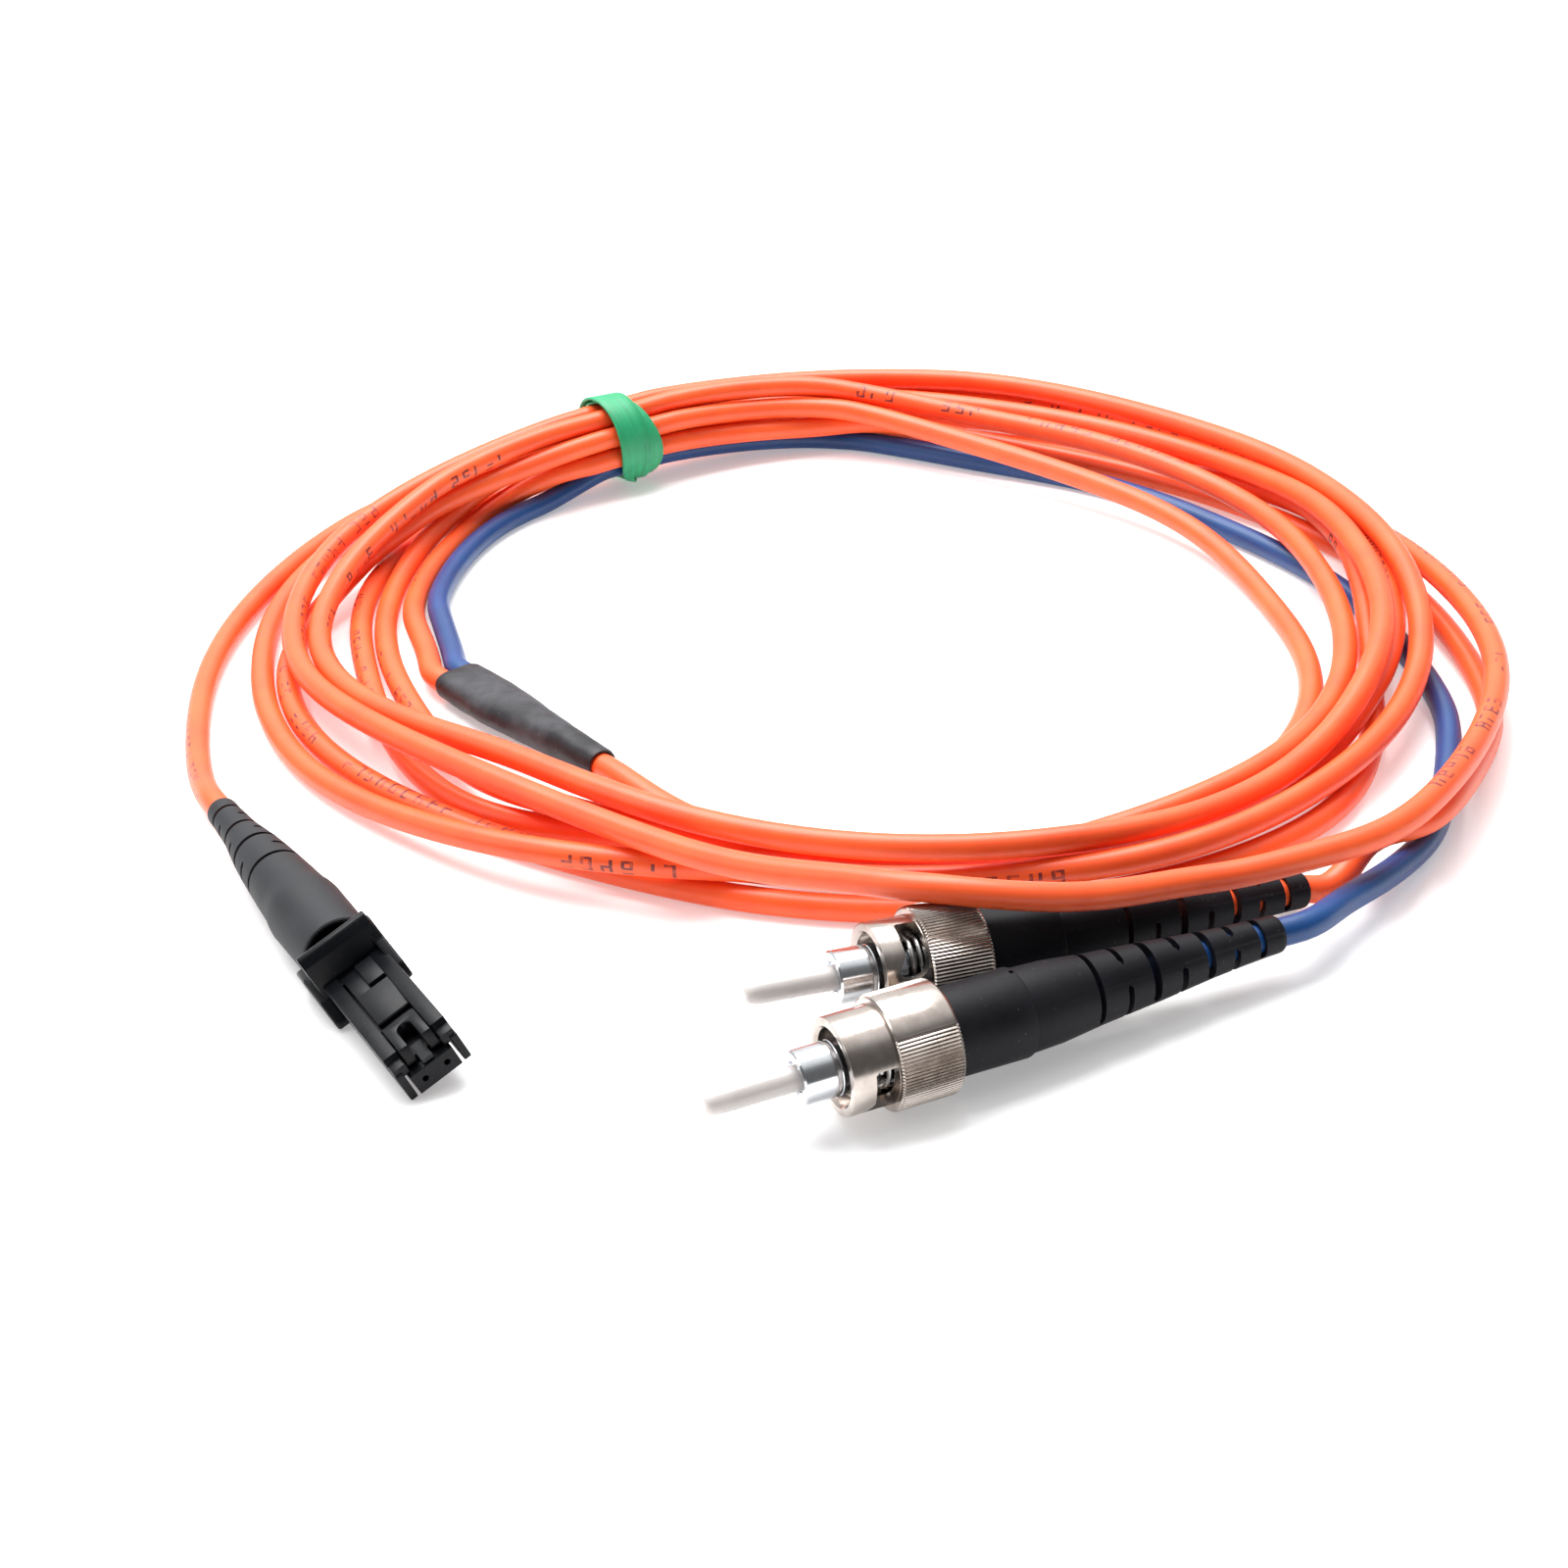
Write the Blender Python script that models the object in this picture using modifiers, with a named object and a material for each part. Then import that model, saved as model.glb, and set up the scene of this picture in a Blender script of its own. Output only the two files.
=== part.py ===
# Duplex fibre patch cord, coiled: one round two-fibre cable with a black
# latching duplex plug on one end. At the other end a heat-shrink breakout sleeve
# splits it into an orange and a blue leg, each with a bayonet connector: white
# ceramic ferrule, barrel, spring, thrust washer, coupling nut and slotted boot.
# The coil is held by one flat rubber band. Lengths below are in millimetres,
# objects are built in metres, +Z up, floor at z = 0.
import math
import bpy
import bmesh
import numpy as np
from mathutils import Matrix, Vector

MM = 0.001

# ---------------------------------------------------------------- dimensions
CABLE_D = 3.0                 # jacket diameter, mm
COIL_CENTRE = (0.0, 15.0)     # plan centre that the clock angles turn about
CLOCK = 22.5                  # degrees between the stations of a turn

# Each turn of the coil by the clock, from the left side (0) over the back (90)
# and the right side (180) to the front (270): reach from the coil's centre and
# height of the cable's centre line, mm. The 67.5 station is the band's.
LEAD_IN = [(81.2, 3.0)]
TURNS = [
    ([79.3, 79.9, 80.3, 71.0, 77.5, 77.0, 75.0, 76.0, 78.0, 85.0, 90.5, 87.6, 81.0, 64.5, 59.5, 61.5],
     [1.5, 1.5, 1.5, 5.0, 2.0, 1.5, 1.5, 2.5, 5.5, 6.5, 8.0, 8.5, 11.0, 8.0, 7.5, 6.0]),
    ([67.5, 71.0, 69.5, 69.0, 73.5, 75.0, 71.5, 71.5, 73.5, 76.0, 76.5, 74.5, 66.0, 66.5, 66.5, 69.0],
     [4.5, 6.5, 9.0, 10.5, 9.0, 8.0, 8.0, 7.5, 7.7, 5.5, 4.5, 4.0, 2.5, 4.5, 3.0, 1.5]),
    ([72.0, 76.5, 75.5, 71.0, 76.5, 75.5, 75.5, 75.5, 72.5, 72.0, 70.5, 67.0, 62.0, 58.0, 56.0, 53.0],
     [1.5, 1.5, 4.5, 8.0, 6.5, 5.5, 4.5, 3.5, 4.6, 4.6, 3.0, 4.0, 4.7, 4.7, 3.5, 1.5]),
    ([55.5, 61.0, 65.5, 67.0, 71.5, 70.0, 70.0, 71.0, 70.0, 71.5, 72.5, 72.0, 66.0, 58.5, 54.0, 58.0],
     [1.5, 1.5, 4.5, 6.5, 7.0, 6.5, 6.0, 6.5, 7.7, 7.7, 5.0, 6.5, 7.5, 7.7, 7.0, 5.5]),
    ([64.5, 66.0, 65.0, 66.0, 68.0, 64.0, 63.5, 65.0, 65.0, 67.5, 69.5, 65.5, 61.0, 55.5, 58.5, 57.5],
     [4.5, 6.5, 9.0, 10.5, 9.0, 7.0, 6.0, 4.5, 4.6, 4.5, 4.0, 2.5, 1.5, 1.5, 1.5, 1.5]),
    ([59.0, 65.5, 68.5, 68.5, 71.5, 68.5, 68.5, 71.0, 70.0, 70.5, 77.5, 74.5, 68.5, 63.0, 62.0, 65.5],
     [1.5, 1.5, 2.0, 3.0, 2.0, 1.5, 1.5, 3.5, 4.6, 1.5, 1.5, 1.5, 1.5, 1.5, 1.5, 1.5]),
    ([69.0, 67.5, 65.0, 64.0, 68.0, 59.5, 55.6, 56.1, 58.1, 63.5, 67.0, 65.0, 58.5],
     [1.5, 2.5, 6.5, 8.5, 6.5, 5.0, 4.0, 3.0, 1.5, 1.5, 1.5, 1.5, 1.5]),
]
# the first turn lies over the rear connector's boot and nut here
OVER_BOOT = [(10, (54.8, -58.3, 8.3)), (10, (47.0, -61.6, 8.2)), (10, (39.5, -64.2, 8.2)), (11, (24.5, -69.7, 9.6)),
             (11, (16.0, -71.9, 11.0)), (11, (8.0, -71.2, 11.7)), (12, (-10.9, -57.6, 9.2))]
ORANGE_LEG = ([50.3, 58.5, 67.0, 63.5, 66.5, 65.0, 66.5, 70.0, 76.5, 84.2],
              [2.0, 1.5, 2.5, 5.5, 4.0, 2.0, 1.5, 1.5, 1.5, 1.5])
BLUE_LEG = ([47.9, 56.0, 63.0, 65.5, 69.5, 62.0, 60.5, 62.0, 68.5, 78.7],
            [2.0, 1.5, 1.5, 3.0, 2.0, 1.5, 1.5, 1.5, 1.5, 1.5])

# The band: its centre, the heading of the bundle in it, and the place of each
# strand round the bundle, degrees from the near side over the top.
BAND_AT = (-26.7, 76.3, 6.95)
BAND_HEADING = 30.0
BUNDLE_R = 4.1
SLOTS = [205, 115, 160, None, 70, 250, 25]
SLOT_ORANGE, SLOT_BLUE = -20, -65


def clock_point(deg, reach, height):
    a = math.radians(deg)
    return (COIL_CENTRE[0] - reach * math.cos(a), COIL_CENTRE[1] + reach * math.sin(a), height)


def band_points(slot):
    h = math.radians(BAND_HEADING)
    along = np.array([math.cos(h), math.sin(h), 0.0])
    back = np.array([-math.sin(h), math.cos(h), 0.0])
    c = np.array(BAND_AT)
    if slot is None:
        off = np.zeros(3)
    else:
        a = math.radians(slot)
        off = -back * BUNDLE_R * math.cos(a) + np.array([0, 0, BUNDLE_R * math.sin(a)])
    return [tuple(c + off + along * s) for s in (-6.0, 0.0, 6.0)]


def turn_points(reach, height, slot, extra=()):
    """Stations of a turn; extra holds (station before, point) pairs."""
    out = []
    for i, (r, z) in enumerate(zip(reach, height)):
        if i == 3:
            out += band_points(slot)
        else:
            out.append(clock_point(i * CLOCK, r, z))
        out += [q for at, q in extra if at == i]
    return out


def smooth_curve(points, step):
    """Natural cubic spline through the points, read at equal steps of length."""
    p = np.array(points, dtype=float)
    t = np.concatenate([[0.0], np.cumsum(np.sqrt(np.linalg.norm(np.diff(p, axis=0), axis=1)))])
    n = len(t)
    h = np.diff(t)
    A = np.zeros((n, n))
    rhs = np.zeros((n, 3))
    A[0, 0] = A[-1, -1] = 1.0
    for i in range(1, n - 1):
        A[i, i - 1] = h[i - 1]
        A[i, i] = 2 * (h[i - 1] + h[i])
        A[i, i + 1] = h[i]
        rhs[i] = 6 * ((p[i + 1] - p[i]) / h[i] - (p[i] - p[i - 1]) / h[i - 1])
    m = np.linalg.solve(A, rhs)
    dense = []
    for i in range(n - 1):
        k = 24
        for j in range(k):
            u = j / k * h[i]
            a = h[i] - u
            dense.append(m[i] * a ** 3 / (6 * h[i]) + m[i + 1] * u ** 3 / (6 * h[i])
                         + (p[i] / h[i] - m[i] * h[i] / 6) * a + (p[i + 1] / h[i] - m[i + 1] * h[i] / 6) * u)
    dense.append(p[-1])
    dense = np.array(dense)
    return read_at(dense, step)


def read_at(dense, step):
    s = np.concatenate([[0.0], np.cumsum(np.linalg.norm(np.diff(dense, axis=0), axis=1))])
    count = max(2, int(round(s[-1] / step)) + 1)
    q = np.linspace(0.0, s[-1], count)
    return np.stack([np.interp(q, s, dense[:, k]) for k in range(3)], axis=1)


def settle(cords, pinned, blocks, gap, radius, rounds=420):
    """Lets the strands come down on each other, on the floor and on the hard pieces.

    cords: list of (n,3) arrays; pinned: list of boolean arrays; blocks: capsules
    (a, b, ra, rb); gap: least distance between two centre lines."""
    P = np.concatenate(cords)
    start = P.copy()
    pin = np.concatenate(pinned)
    ids = np.concatenate([np.full(len(c), k) for k, c in enumerate(cords)])
    pos = np.concatenate([np.arange(len(c)) for c in cords])
    N = len(P)
    seg = np.array([i for i in range(N - 1) if ids[i] == ids[i + 1]])
    inner = np.array([i for i in range(1, N - 1) if ids[i - 1] == ids[i] == ids[i + 1]])
    step = float(np.median(np.linalg.norm(P[seg + 1] - P[seg], axis=1)))
    reach = int(math.ceil(4 * gap / step))
    pi = sj = None
    for it in range(rounds):
        if it % 15 == 0:
            mid = 0.5 * (P[seg] + P[seg + 1])
            d2 = ((P[:, None, :2] - mid[None, :, :2]) ** 2).sum(2)
            near = d2 < (gap + step) ** 2
            same = (ids[:, None] == ids[seg][None, :]) & (np.abs(pos[:, None] - pos[seg][None, :]) < reach)
            near &= ~same
            pi, sj = np.nonzero(near)
            sj = seg[sj]
        last = it > rounds - 120
        move = np.zeros_like(P)
        hits = np.zeros(N)
        a, b = P[sj], P[sj + 1]
        ab = b - a
        t = np.clip(((P[pi] - a) * ab).sum(1) / (ab * ab).sum(1), 0, 1)
        v = P[pi] - (a + ab * t[:, None])
        d = np.linalg.norm(v, axis=1)
        m = d < gap
        if m.any():
            i, j, tt = pi[m], sj[m], t[m]
            push = v[m] / np.maximum(d[m], 1e-6)[:, None] * ((gap - d[m]) * 0.5)[:, None]
            np.add.at(move, i, push)
            np.add.at(hits, i, 1)
            np.add.at(move, j, -push * (1 - tt)[:, None])
            np.add.at(move, j + 1, -push * tt[:, None])
            np.add.at(hits, j, (1 - tt))
            np.add.at(hits, j + 1, tt)
        move /= np.maximum(hits, 1.0)[:, None] ** 0.5
        P[~pin] += move[~pin] * 0.9
        for (ca, cb, ra, rb) in blocks:
            ca = np.array(ca)
            cb = np.array(cb)
            ax = cb - ca
            tt = np.clip(((P - ca) @ ax) / (ax @ ax), 0, 1)
            q = P - (ca + ax * tt[:, None])
            dd = np.linalg.norm(q, axis=1)
            rr = ra + (rb - ra) * tt + radius
            k = (dd < rr) & ~pin
            P[k] += q[k] / dd[k][:, None] * (rr[k] - dd[k])[:, None]
        # stiffness: the change from the plan stays smooth along the cable
        free = ~pin[inner]
        if not last:
            P[~pin] -= (P - start)[~pin] * 0.012
        for _ in range(3 if not last else 1):
            D = P - start
            lap = 0.5 * (D[inner - 1] + D[inner + 1]) - D[inner]
            P[inner[free]] += lap[free] * (0.45 if not last else 0.10)
        low = (P[:, 2] < radius) & ~pin
        P[low, 2] = radius
    out = []
    at = 0
    for c in cords:
        out.append(P[at:at + len(c)])
        at += len(c)
    return out


# Duplex plug: its frame's origin is the middle of the bottom front edge, x
# forward out of the plug, y to its raised side, z out of its latch face.
PLUG_AT = (-41.3, -80.3, 1.39)
PLUG_HEADING, PLUG_ROLL = -62.1, 22.0
PLUG_W, PLUG_H, PLUG_L = 7.3, 4.8, 24.0
PLUG_AXIS_H = 3.4            # height of the cable's line above the bottom face
PLUG_BOOT_END = 59.9
FERRULE_W, FERRULE_H = 5.0, 2.45

# Bayonet connectors: the middle of the nut's front face, the heading of the
# tip, and how far the boot slopes down, degrees.
BAYONETS = {"front": ((-3.35, -89.8, 6.05), 202.9, 1.0), "rear": ((1.0, -74.8, 6.8), 199.8, 5.0)}
NUT_R, NUT_FRONT_R, NUT_BORE_R = 5.75, 4.9, 3.8
NUT_L, NUT_STEP = 11.3, 4.7
TIP = 13.1                   # the ferrule's tip in front of the nut
BOOT_END = 49.5
# outer side of the boot: radius at each distance behind the nut's front face
BOOT_SIDE = [(4.45, -11.7), (4.55, -19.6), (4.3, -20.0), (4.15, -23.4), (3.65, -27.8), (3.05, -34.9),
             (2.4, -41.3), (2.0, -47.6), (1.95, -49.1), (1.85, -49.5)]
NUT_TRAVEL = 1.5

# Breakout sleeve: the two ends of its axis, legs' end first.
SLEEVE_A, SLEEVE_B = (-46.2, 6.6, 2.5), (-27.2, -19.5, 2.6)
# its half width and half height at each distance from the legs' end
SLEEVE_SIDE = [(0.0, 3.15, 1.75), (1.5, 3.3, 1.85), (6.0, 3.6, 2.05), (11.0, 3.65, 2.2), (17.0, 3.1, 2.25),
               (23.0, 2.5, 2.25), (28.0, 2.2, 2.15), (32.3, 2.05, 2.05)]
# Everything is moved by this, so that the connectors, sleeve and band are
# centred on the origin.
CENTRING = np.array([11.97, 5.95, 0.0])
GAP = 0.3
STEP = 2.5                   # spacing of the settled points
TUBE_EVERY = 3               # the tube takes every third of them


def axes_of(heading, roll=0.0, pitch=0.0):
    h, r, p = map(math.radians, (heading, roll, pitch))
    x = np.array([math.cos(h) * math.cos(p), math.sin(h) * math.cos(p), math.sin(p)])
    y = np.array([-math.sin(h), math.cos(h), 0.0])
    z = np.cross(x, y)
    return x, y * math.cos(r) + z * math.sin(r), -y * math.sin(r) + z * math.cos(r)


def routes():
    """The three cords' settled centre lines, mm."""
    px, py, pz = axes_of(PLUG_HEADING, PLUG_ROLL)
    plug = np.array(PLUG_AT)
    plug_end = plug - PLUG_BOOT_END * px + PLUG_AXIS_H * pz
    a, b = np.array(SLEEVE_A), np.array(SLEEVE_B)
    d = (b - a) / np.linalg.norm(b - a)
    side = np.array([-d[1], d[0], 0.0])
    side /= np.linalg.norm(side)
    con = {k: (np.array(p), axes_of(h, 0.0, t)[0]) for k, (p, h, t) in BAYONETS.items()}
    end = {k: p - BOOT_END * x for k, (p, x) in con.items()}

    main = [plug_end - px * GAP, plug_end - px * 3.0, clock_point(-22.5, *LEAD_IN[0])]
    for k, ((reach, height), slot) in enumerate(zip(TURNS, SLOTS)):
        main += turn_points(reach, height, slot, OVER_BOOT if k == 0 else ())
    main += [clock_point(290.0, 50.5, 2.0), b + d * 4.0, b + d * GAP]
    orange = [a - d * GAP - side * 1.6, a - d * 2.5 - side * 1.65]
    orange += turn_points(ORANGE_LEG[0], ORANGE_LEG[1], SLOT_ORANGE, [(0, (-53.2, 26.0, 2.0))])
    orange += [(74.2, -28.7, 1.7), (69.5, -38.4, 3.2), (65.0, -46.8, 4.7), (60.4, -51.0, 5.0), (55.8, -52.5, 4.6),
               end["rear"] - con["rear"][1] * 4.0, end["rear"] - con["rear"][1] * GAP]
    blue = [a - d * GAP + side * 1.6, a - d * 2.5 + side * 1.65]
    blue += turn_points(BLUE_LEG[0], BLUE_LEG[1], SLOT_BLUE, [(0, (-50.4, 25.5, 2.0))])
    blue += [(71.7, -24.6, 1.5), (69.8, -32.3, 1.5), (67.3, -39.9, 1.5), (63.8, -47.5, 1.7), (59.6, -53.4, 2.2),
             (54.9, -59.0, 3.2), (50.3, -64.0, 4.2),
             end["front"] - con["front"][1] * 4.0, end["front"] - con["front"][1] * GAP]
    cords = [smooth_curve(c, STEP) for c in (main, orange, blue)]

    h = math.radians(BAND_HEADING)
    along = np.array([math.cos(h), math.sin(h), 0.0])
    pinned = []
    for c in cords:
        q = c - np.array(BAND_AT)
        s = q @ along
        off = np.linalg.norm(q - np.outer(s, along), axis=1)
        p = (np.abs(s) < 6.2) & (off < 6.0)
        p[:2] = True
        p[-2:] = True
        pinned.append(p)
    blocks = []
    for p, x in con.values():
        blocks += [(p, p - 11.5 * x, 6.0, 6.0), (p - 11.5 * x, p - 23.4 * x, 4.85, 4.5),
                   (p - 23.4 * x, p - 41.3 * x, 4.45, 2.75), (p - 41.3 * x, p - 49.2 * x, 2.75, 2.3),
                   (p, p + TIP * x, 3.0, 1.5)]
    blocks += [(plug - 18.0 * px + PLUG_AXIS_H * pz, plug - 59.5 * px + PLUG_AXIS_H * pz, 5.0, 2.2)]
    blocks += [(a + d * 9.0, b - d * 0.5, 3.4, 2.5)]
    return settle(cords, pinned, blocks, 3.2, CABLE_D / 2)


# ------------------------------------------------------------------ modelling
for ob in list(bpy.data.objects):
    bpy.data.objects.remove(ob, do_unlink=True)

parts = bpy.data.collections.new("duplex_fibre_patch_cord")
cutters = bpy.data.collections.new("cutters")
bpy.context.scene.collection.children.link(parts)
bpy.context.scene.collection.children.link(cutters)


def material(name, colour, rough, metal=0.0):
    m = bpy.data.materials.new(name)
    m.use_nodes = True
    s = m.node_tree.nodes["Principled BSDF"]
    s.inputs["Base Color"].default_value = (*colour, 1.0)
    s.inputs["Roughness"].default_value = rough
    s.inputs["Metallic"].default_value = metal
    return m


ORANGE = material("orange_jacket", (0.90, 0.14, 0.04), 0.45)
BLUE = material("blue_jacket", (0.03, 0.12, 0.40), 0.45)
BLACK = material("black_plastic", (0.02, 0.02, 0.022), 0.55)
BOOT = material("black_boot", (0.03, 0.03, 0.032), 0.65)
SHRINK = material("heat_shrink", (0.025, 0.025, 0.027), 0.6)
GREEN = material("band_rubber", (0.01, 0.32, 0.13), 0.55)
NICKEL = material("nickel", (0.72, 0.69, 0.65), 0.28, 1.0)
STEEL = material("steel", (0.62, 0.62, 0.62), 0.25, 1.0)
CERAMIC = material("ceramic", (0.87, 0.86, 0.83), 0.25)


def place(ob, parent=None, loc=(0, 0, 0), home=parts):
    home.objects.link(ob)
    if parent is not None:
        ob.parent = parent
    ob.location = Vector(loc) * MM
    return ob


def frame_empty(name, at, axes):
    """An empty at a connector's frame; axes are its x, y and z in the world."""
    e = bpy.data.objects.new(name, None)
    e.empty_display_size = 0.01
    m = Matrix([[axes[0][i], axes[1][i], axes[2][i]] for i in range(3)]).to_4x4()
    m.translation = Vector(np.array(at) + CENTRING) * MM
    e.matrix_world = m
    parts.objects.link(e)
    return e


def turned(name, profile, mat, parent, closed=False, steps=32, home=parts):
    """Profile of (radius, z) down the outer side, turned about the frame's z."""
    me = bpy.data.meshes.new(name)
    pts = [(r * MM, 0.0, z * MM) for r, z in profile]
    edges = [(i, i + 1) for i in range(len(pts) - 1)]
    if closed:
        edges.append((len(pts) - 1, 0))
    me.from_pydata(pts, edges, [])
    ob = bpy.data.objects.new(name, me)
    ob.data.materials.append(mat)
    place(ob, parent, home=home)
    sc = ob.modifiers.new("turn", "SCREW")
    sc.axis = "Z"
    sc.angle = math.tau
    sc.steps = sc.render_steps = steps
    sc.use_merge_vertices = True
    sc.merge_threshold = 0.00001
    sc.use_smooth_shade = True
    return ob


def box(name, lo, hi, mat, parent, bevel=0.0, home=parts):
    bm = bmesh.new()
    bmesh.ops.create_cube(bm, size=1.0)
    for v in bm.verts:
        v.co = Vector([(lo[i] if v.co[i] < 0 else hi[i]) * MM for i in range(3)])
    me = bpy.data.meshes.new(name)
    bm.to_mesh(me)
    bm.free()
    me.materials.append(mat)
    ob = bpy.data.objects.new(name, me)
    place(ob, parent, home=home)
    if bevel:
        b = ob.modifiers.new("edges", "BEVEL")
        b.width = bevel * MM
        b.segments = 2
        b.limit_method = "ANGLE"
    return ob


def join(ob, other, op="UNION"):
    m = ob.modifiers.new(op.lower() + "_" + other.name, "BOOLEAN")
    m.operation = op
    m.object = other
    m.solver = "EXACT"
    other.hide_render = True
    other.display_type = "WIRE"
    return m


def cutter_box(name, lo, hi, parent):
    return box(name, lo, hi, BLACK, parent, home=cutters)


def tube(name, points, mat, radius):
    """A cord: a round tube along the points, closed at its ends."""
    cu = bpy.data.curves.new(name, "CURVE")
    cu.dimensions = "3D"
    sp = cu.splines.new("POLY")
    sp.points.add(len(points) - 1)
    for p, q in zip(sp.points, points + CENTRING):
        p.co = (q[0] * MM, q[1] * MM, q[2] * MM, 1.0)
    cu.bevel_depth = radius * MM
    cu.bevel_resolution = 2
    cu.use_fill_caps = True
    cu.materials.append(mat)
    return place(bpy.data.objects.new(name, cu))


# cords: jacket of 3 mm, drawn as eight flats that keep clear of each other
strands = routes()
for name, line, mat in zip(("main_cable", "orange_leg", "blue_leg"), strands, (ORANGE, ORANGE, BLUE)):
    last = len(line) - 1
    keep = [0, 1] + list(range(TUBE_EVERY, last - 2, TUBE_EVERY)) + [last - 1, last]
    tube(name, line[keep], mat, CABLE_D / 2 - 0.05)

# breakout sleeve: shrunk round one cable at one end and two legs at the other
sa, sb = Vector(SLEEVE_A), Vector(SLEEVE_B)
sz = (sa - sb).normalized()
sx = Vector((0, 0, 1)).cross(sz).normalized()
sleeve_frame = frame_empty("sleeve_frame", sa, (sx, sz.cross(sx), sz))
SIDES = 20
verts, faces = [], []
for i, (along, wide, tall) in enumerate(SLEEVE_SIDE):
    for j in range(SIDES):
        a = math.tau * j / SIDES
        verts.append((wide * MM * math.cos(a), tall * MM * math.sin(a), -along * MM))
        if i:
            q = (j + 1) % SIDES
            faces.append(((i - 1) * SIDES + j, i * SIDES + j, i * SIDES + q, (i - 1) * SIDES + q))
faces += [tuple(range(SIDES)), tuple(range(len(verts) - 1, len(verts) - SIDES - 1, -1))]
me = bpy.data.meshes.new("breakout_sleeve")
me.from_pydata(verts, [], faces)
me.materials.append(SHRINK)
place(bpy.data.objects.new("breakout_sleeve", me), sleeve_frame)

# rubber band: a flat ring round the bundle
bh = math.radians(BAND_HEADING)
bz = Vector((math.cos(bh), math.sin(bh), 0))
bx = Vector((-math.sin(bh), math.cos(bh), 0))
band_frame = frame_empty("band_frame", BAND_AT, (bx, bz.cross(bx), bz))
turned("rubber_band", [(6.2, 3.6), (6.7, 3.5), (6.9, 2.8), (6.85, 0.0), (6.9, -2.8), (6.7, -3.5), (6.2, -3.6),
                       (6.0, -3.0), (6.0, 3.0)], GREEN, band_frame, closed=True, steps=36)

# duplex plug
plug_frame = frame_empty("plug_frame", PLUG_AT, axes_of(PLUG_HEADING, PLUG_ROLL))
w = PLUG_W / 2
housing = box("plug_housing", (-PLUG_L, -w, 0), (0, w, PLUG_H), BLACK, plug_frame, bevel=0.35)
join(housing, cutter_box("ferrule_seat", (-7.4, -FERRULE_W / 2 - GAP, -1.0), (1.0, FERRULE_W / 2 + GAP, FERRULE_H + 0.15 + GAP), plug_frame), "DIFFERENCE")
join(housing, cutter_box("latch_pocket", (-16.4, -2.3, 3.7), (-5.6, 2.3, 6.0), plug_frame), "DIFFERENCE")
bar = box("latch_bar", (-20.6, -4.1, 4.0), (-17.4, 4.1, 8.0), BLACK, plug_frame, bevel=0.5, home=cutters)
join(housing, bar)
tab = box("front_tab", (-5.3, -1.9, 4.0), (-0.5, 1.9, 5.4), BLACK, plug_frame, bevel=0.3, home=cutters)
join(housing, tab)
join(housing, cutter_box("tab_slot", (-4.2, -0.65, 3.2), (0.6, 0.65, 6.0), plug_frame), "DIFFERENCE")
ramp = box("latch_ramp", (-14.8, -1.9, 3.0), (-7.6, 1.9, 4.9), BLACK, plug_frame, home=cutters)
for v in ramp.data.vertices:
    if v.co.x > -10 * MM and v.co.z > 4 * MM:
        v.co.z = 4.1 * MM
join(housing, ramp)
wing = box("side_wing", (-23.6, -4.7, 0.25), (-14.5, 4.7, 2.6), BLACK, plug_frame, bevel=0.8, home=cutters)
join(housing, wing)
mt = box("plug_ferrule", (-7.0, -FERRULE_W / 2, 0.15), (0.15, FERRULE_W / 2, 0.15 + FERRULE_H), BLACK, plug_frame)
for side in (-1, 1):
    c = bpy.data.objects.new("guide_hole_%s" % ("low" if side < 0 else "high"), bpy.data.meshes.new("guide_hole"))
    bm = bmesh.new()
    bmesh.ops.create_cone(bm, cap_ends=True, segments=12, radius1=0.35 * MM, radius2=0.35 * MM, depth=5 * MM,
                          matrix=Matrix.Rotation(math.pi / 2, 4, "Y"))
    bm.to_mesh(c.data)
    bm.free()
    place(c, plug_frame, (0.2, 1.3 * side, 1.4), home=cutters)
    join(mt, c, "DIFFERENCE")
boot_axes = axes_of(PLUG_HEADING, PLUG_ROLL)
plug_boot_frame = frame_empty("plug_boot_frame", np.array(PLUG_AT) + PLUG_AXIS_H * boot_axes[2],
                              (boot_axes[1], boot_axes[2], boot_axes[0]))
turned("plug_boot", [(0, -24.3), (4.1, -24.3), (4.2, -31.0), (3.85, -35.0), (3.5, -41.0), (1.9, -59.2), (1.75, -59.9), (0, -59.9)],
       BOOT, plug_boot_frame, steps=24)

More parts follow.
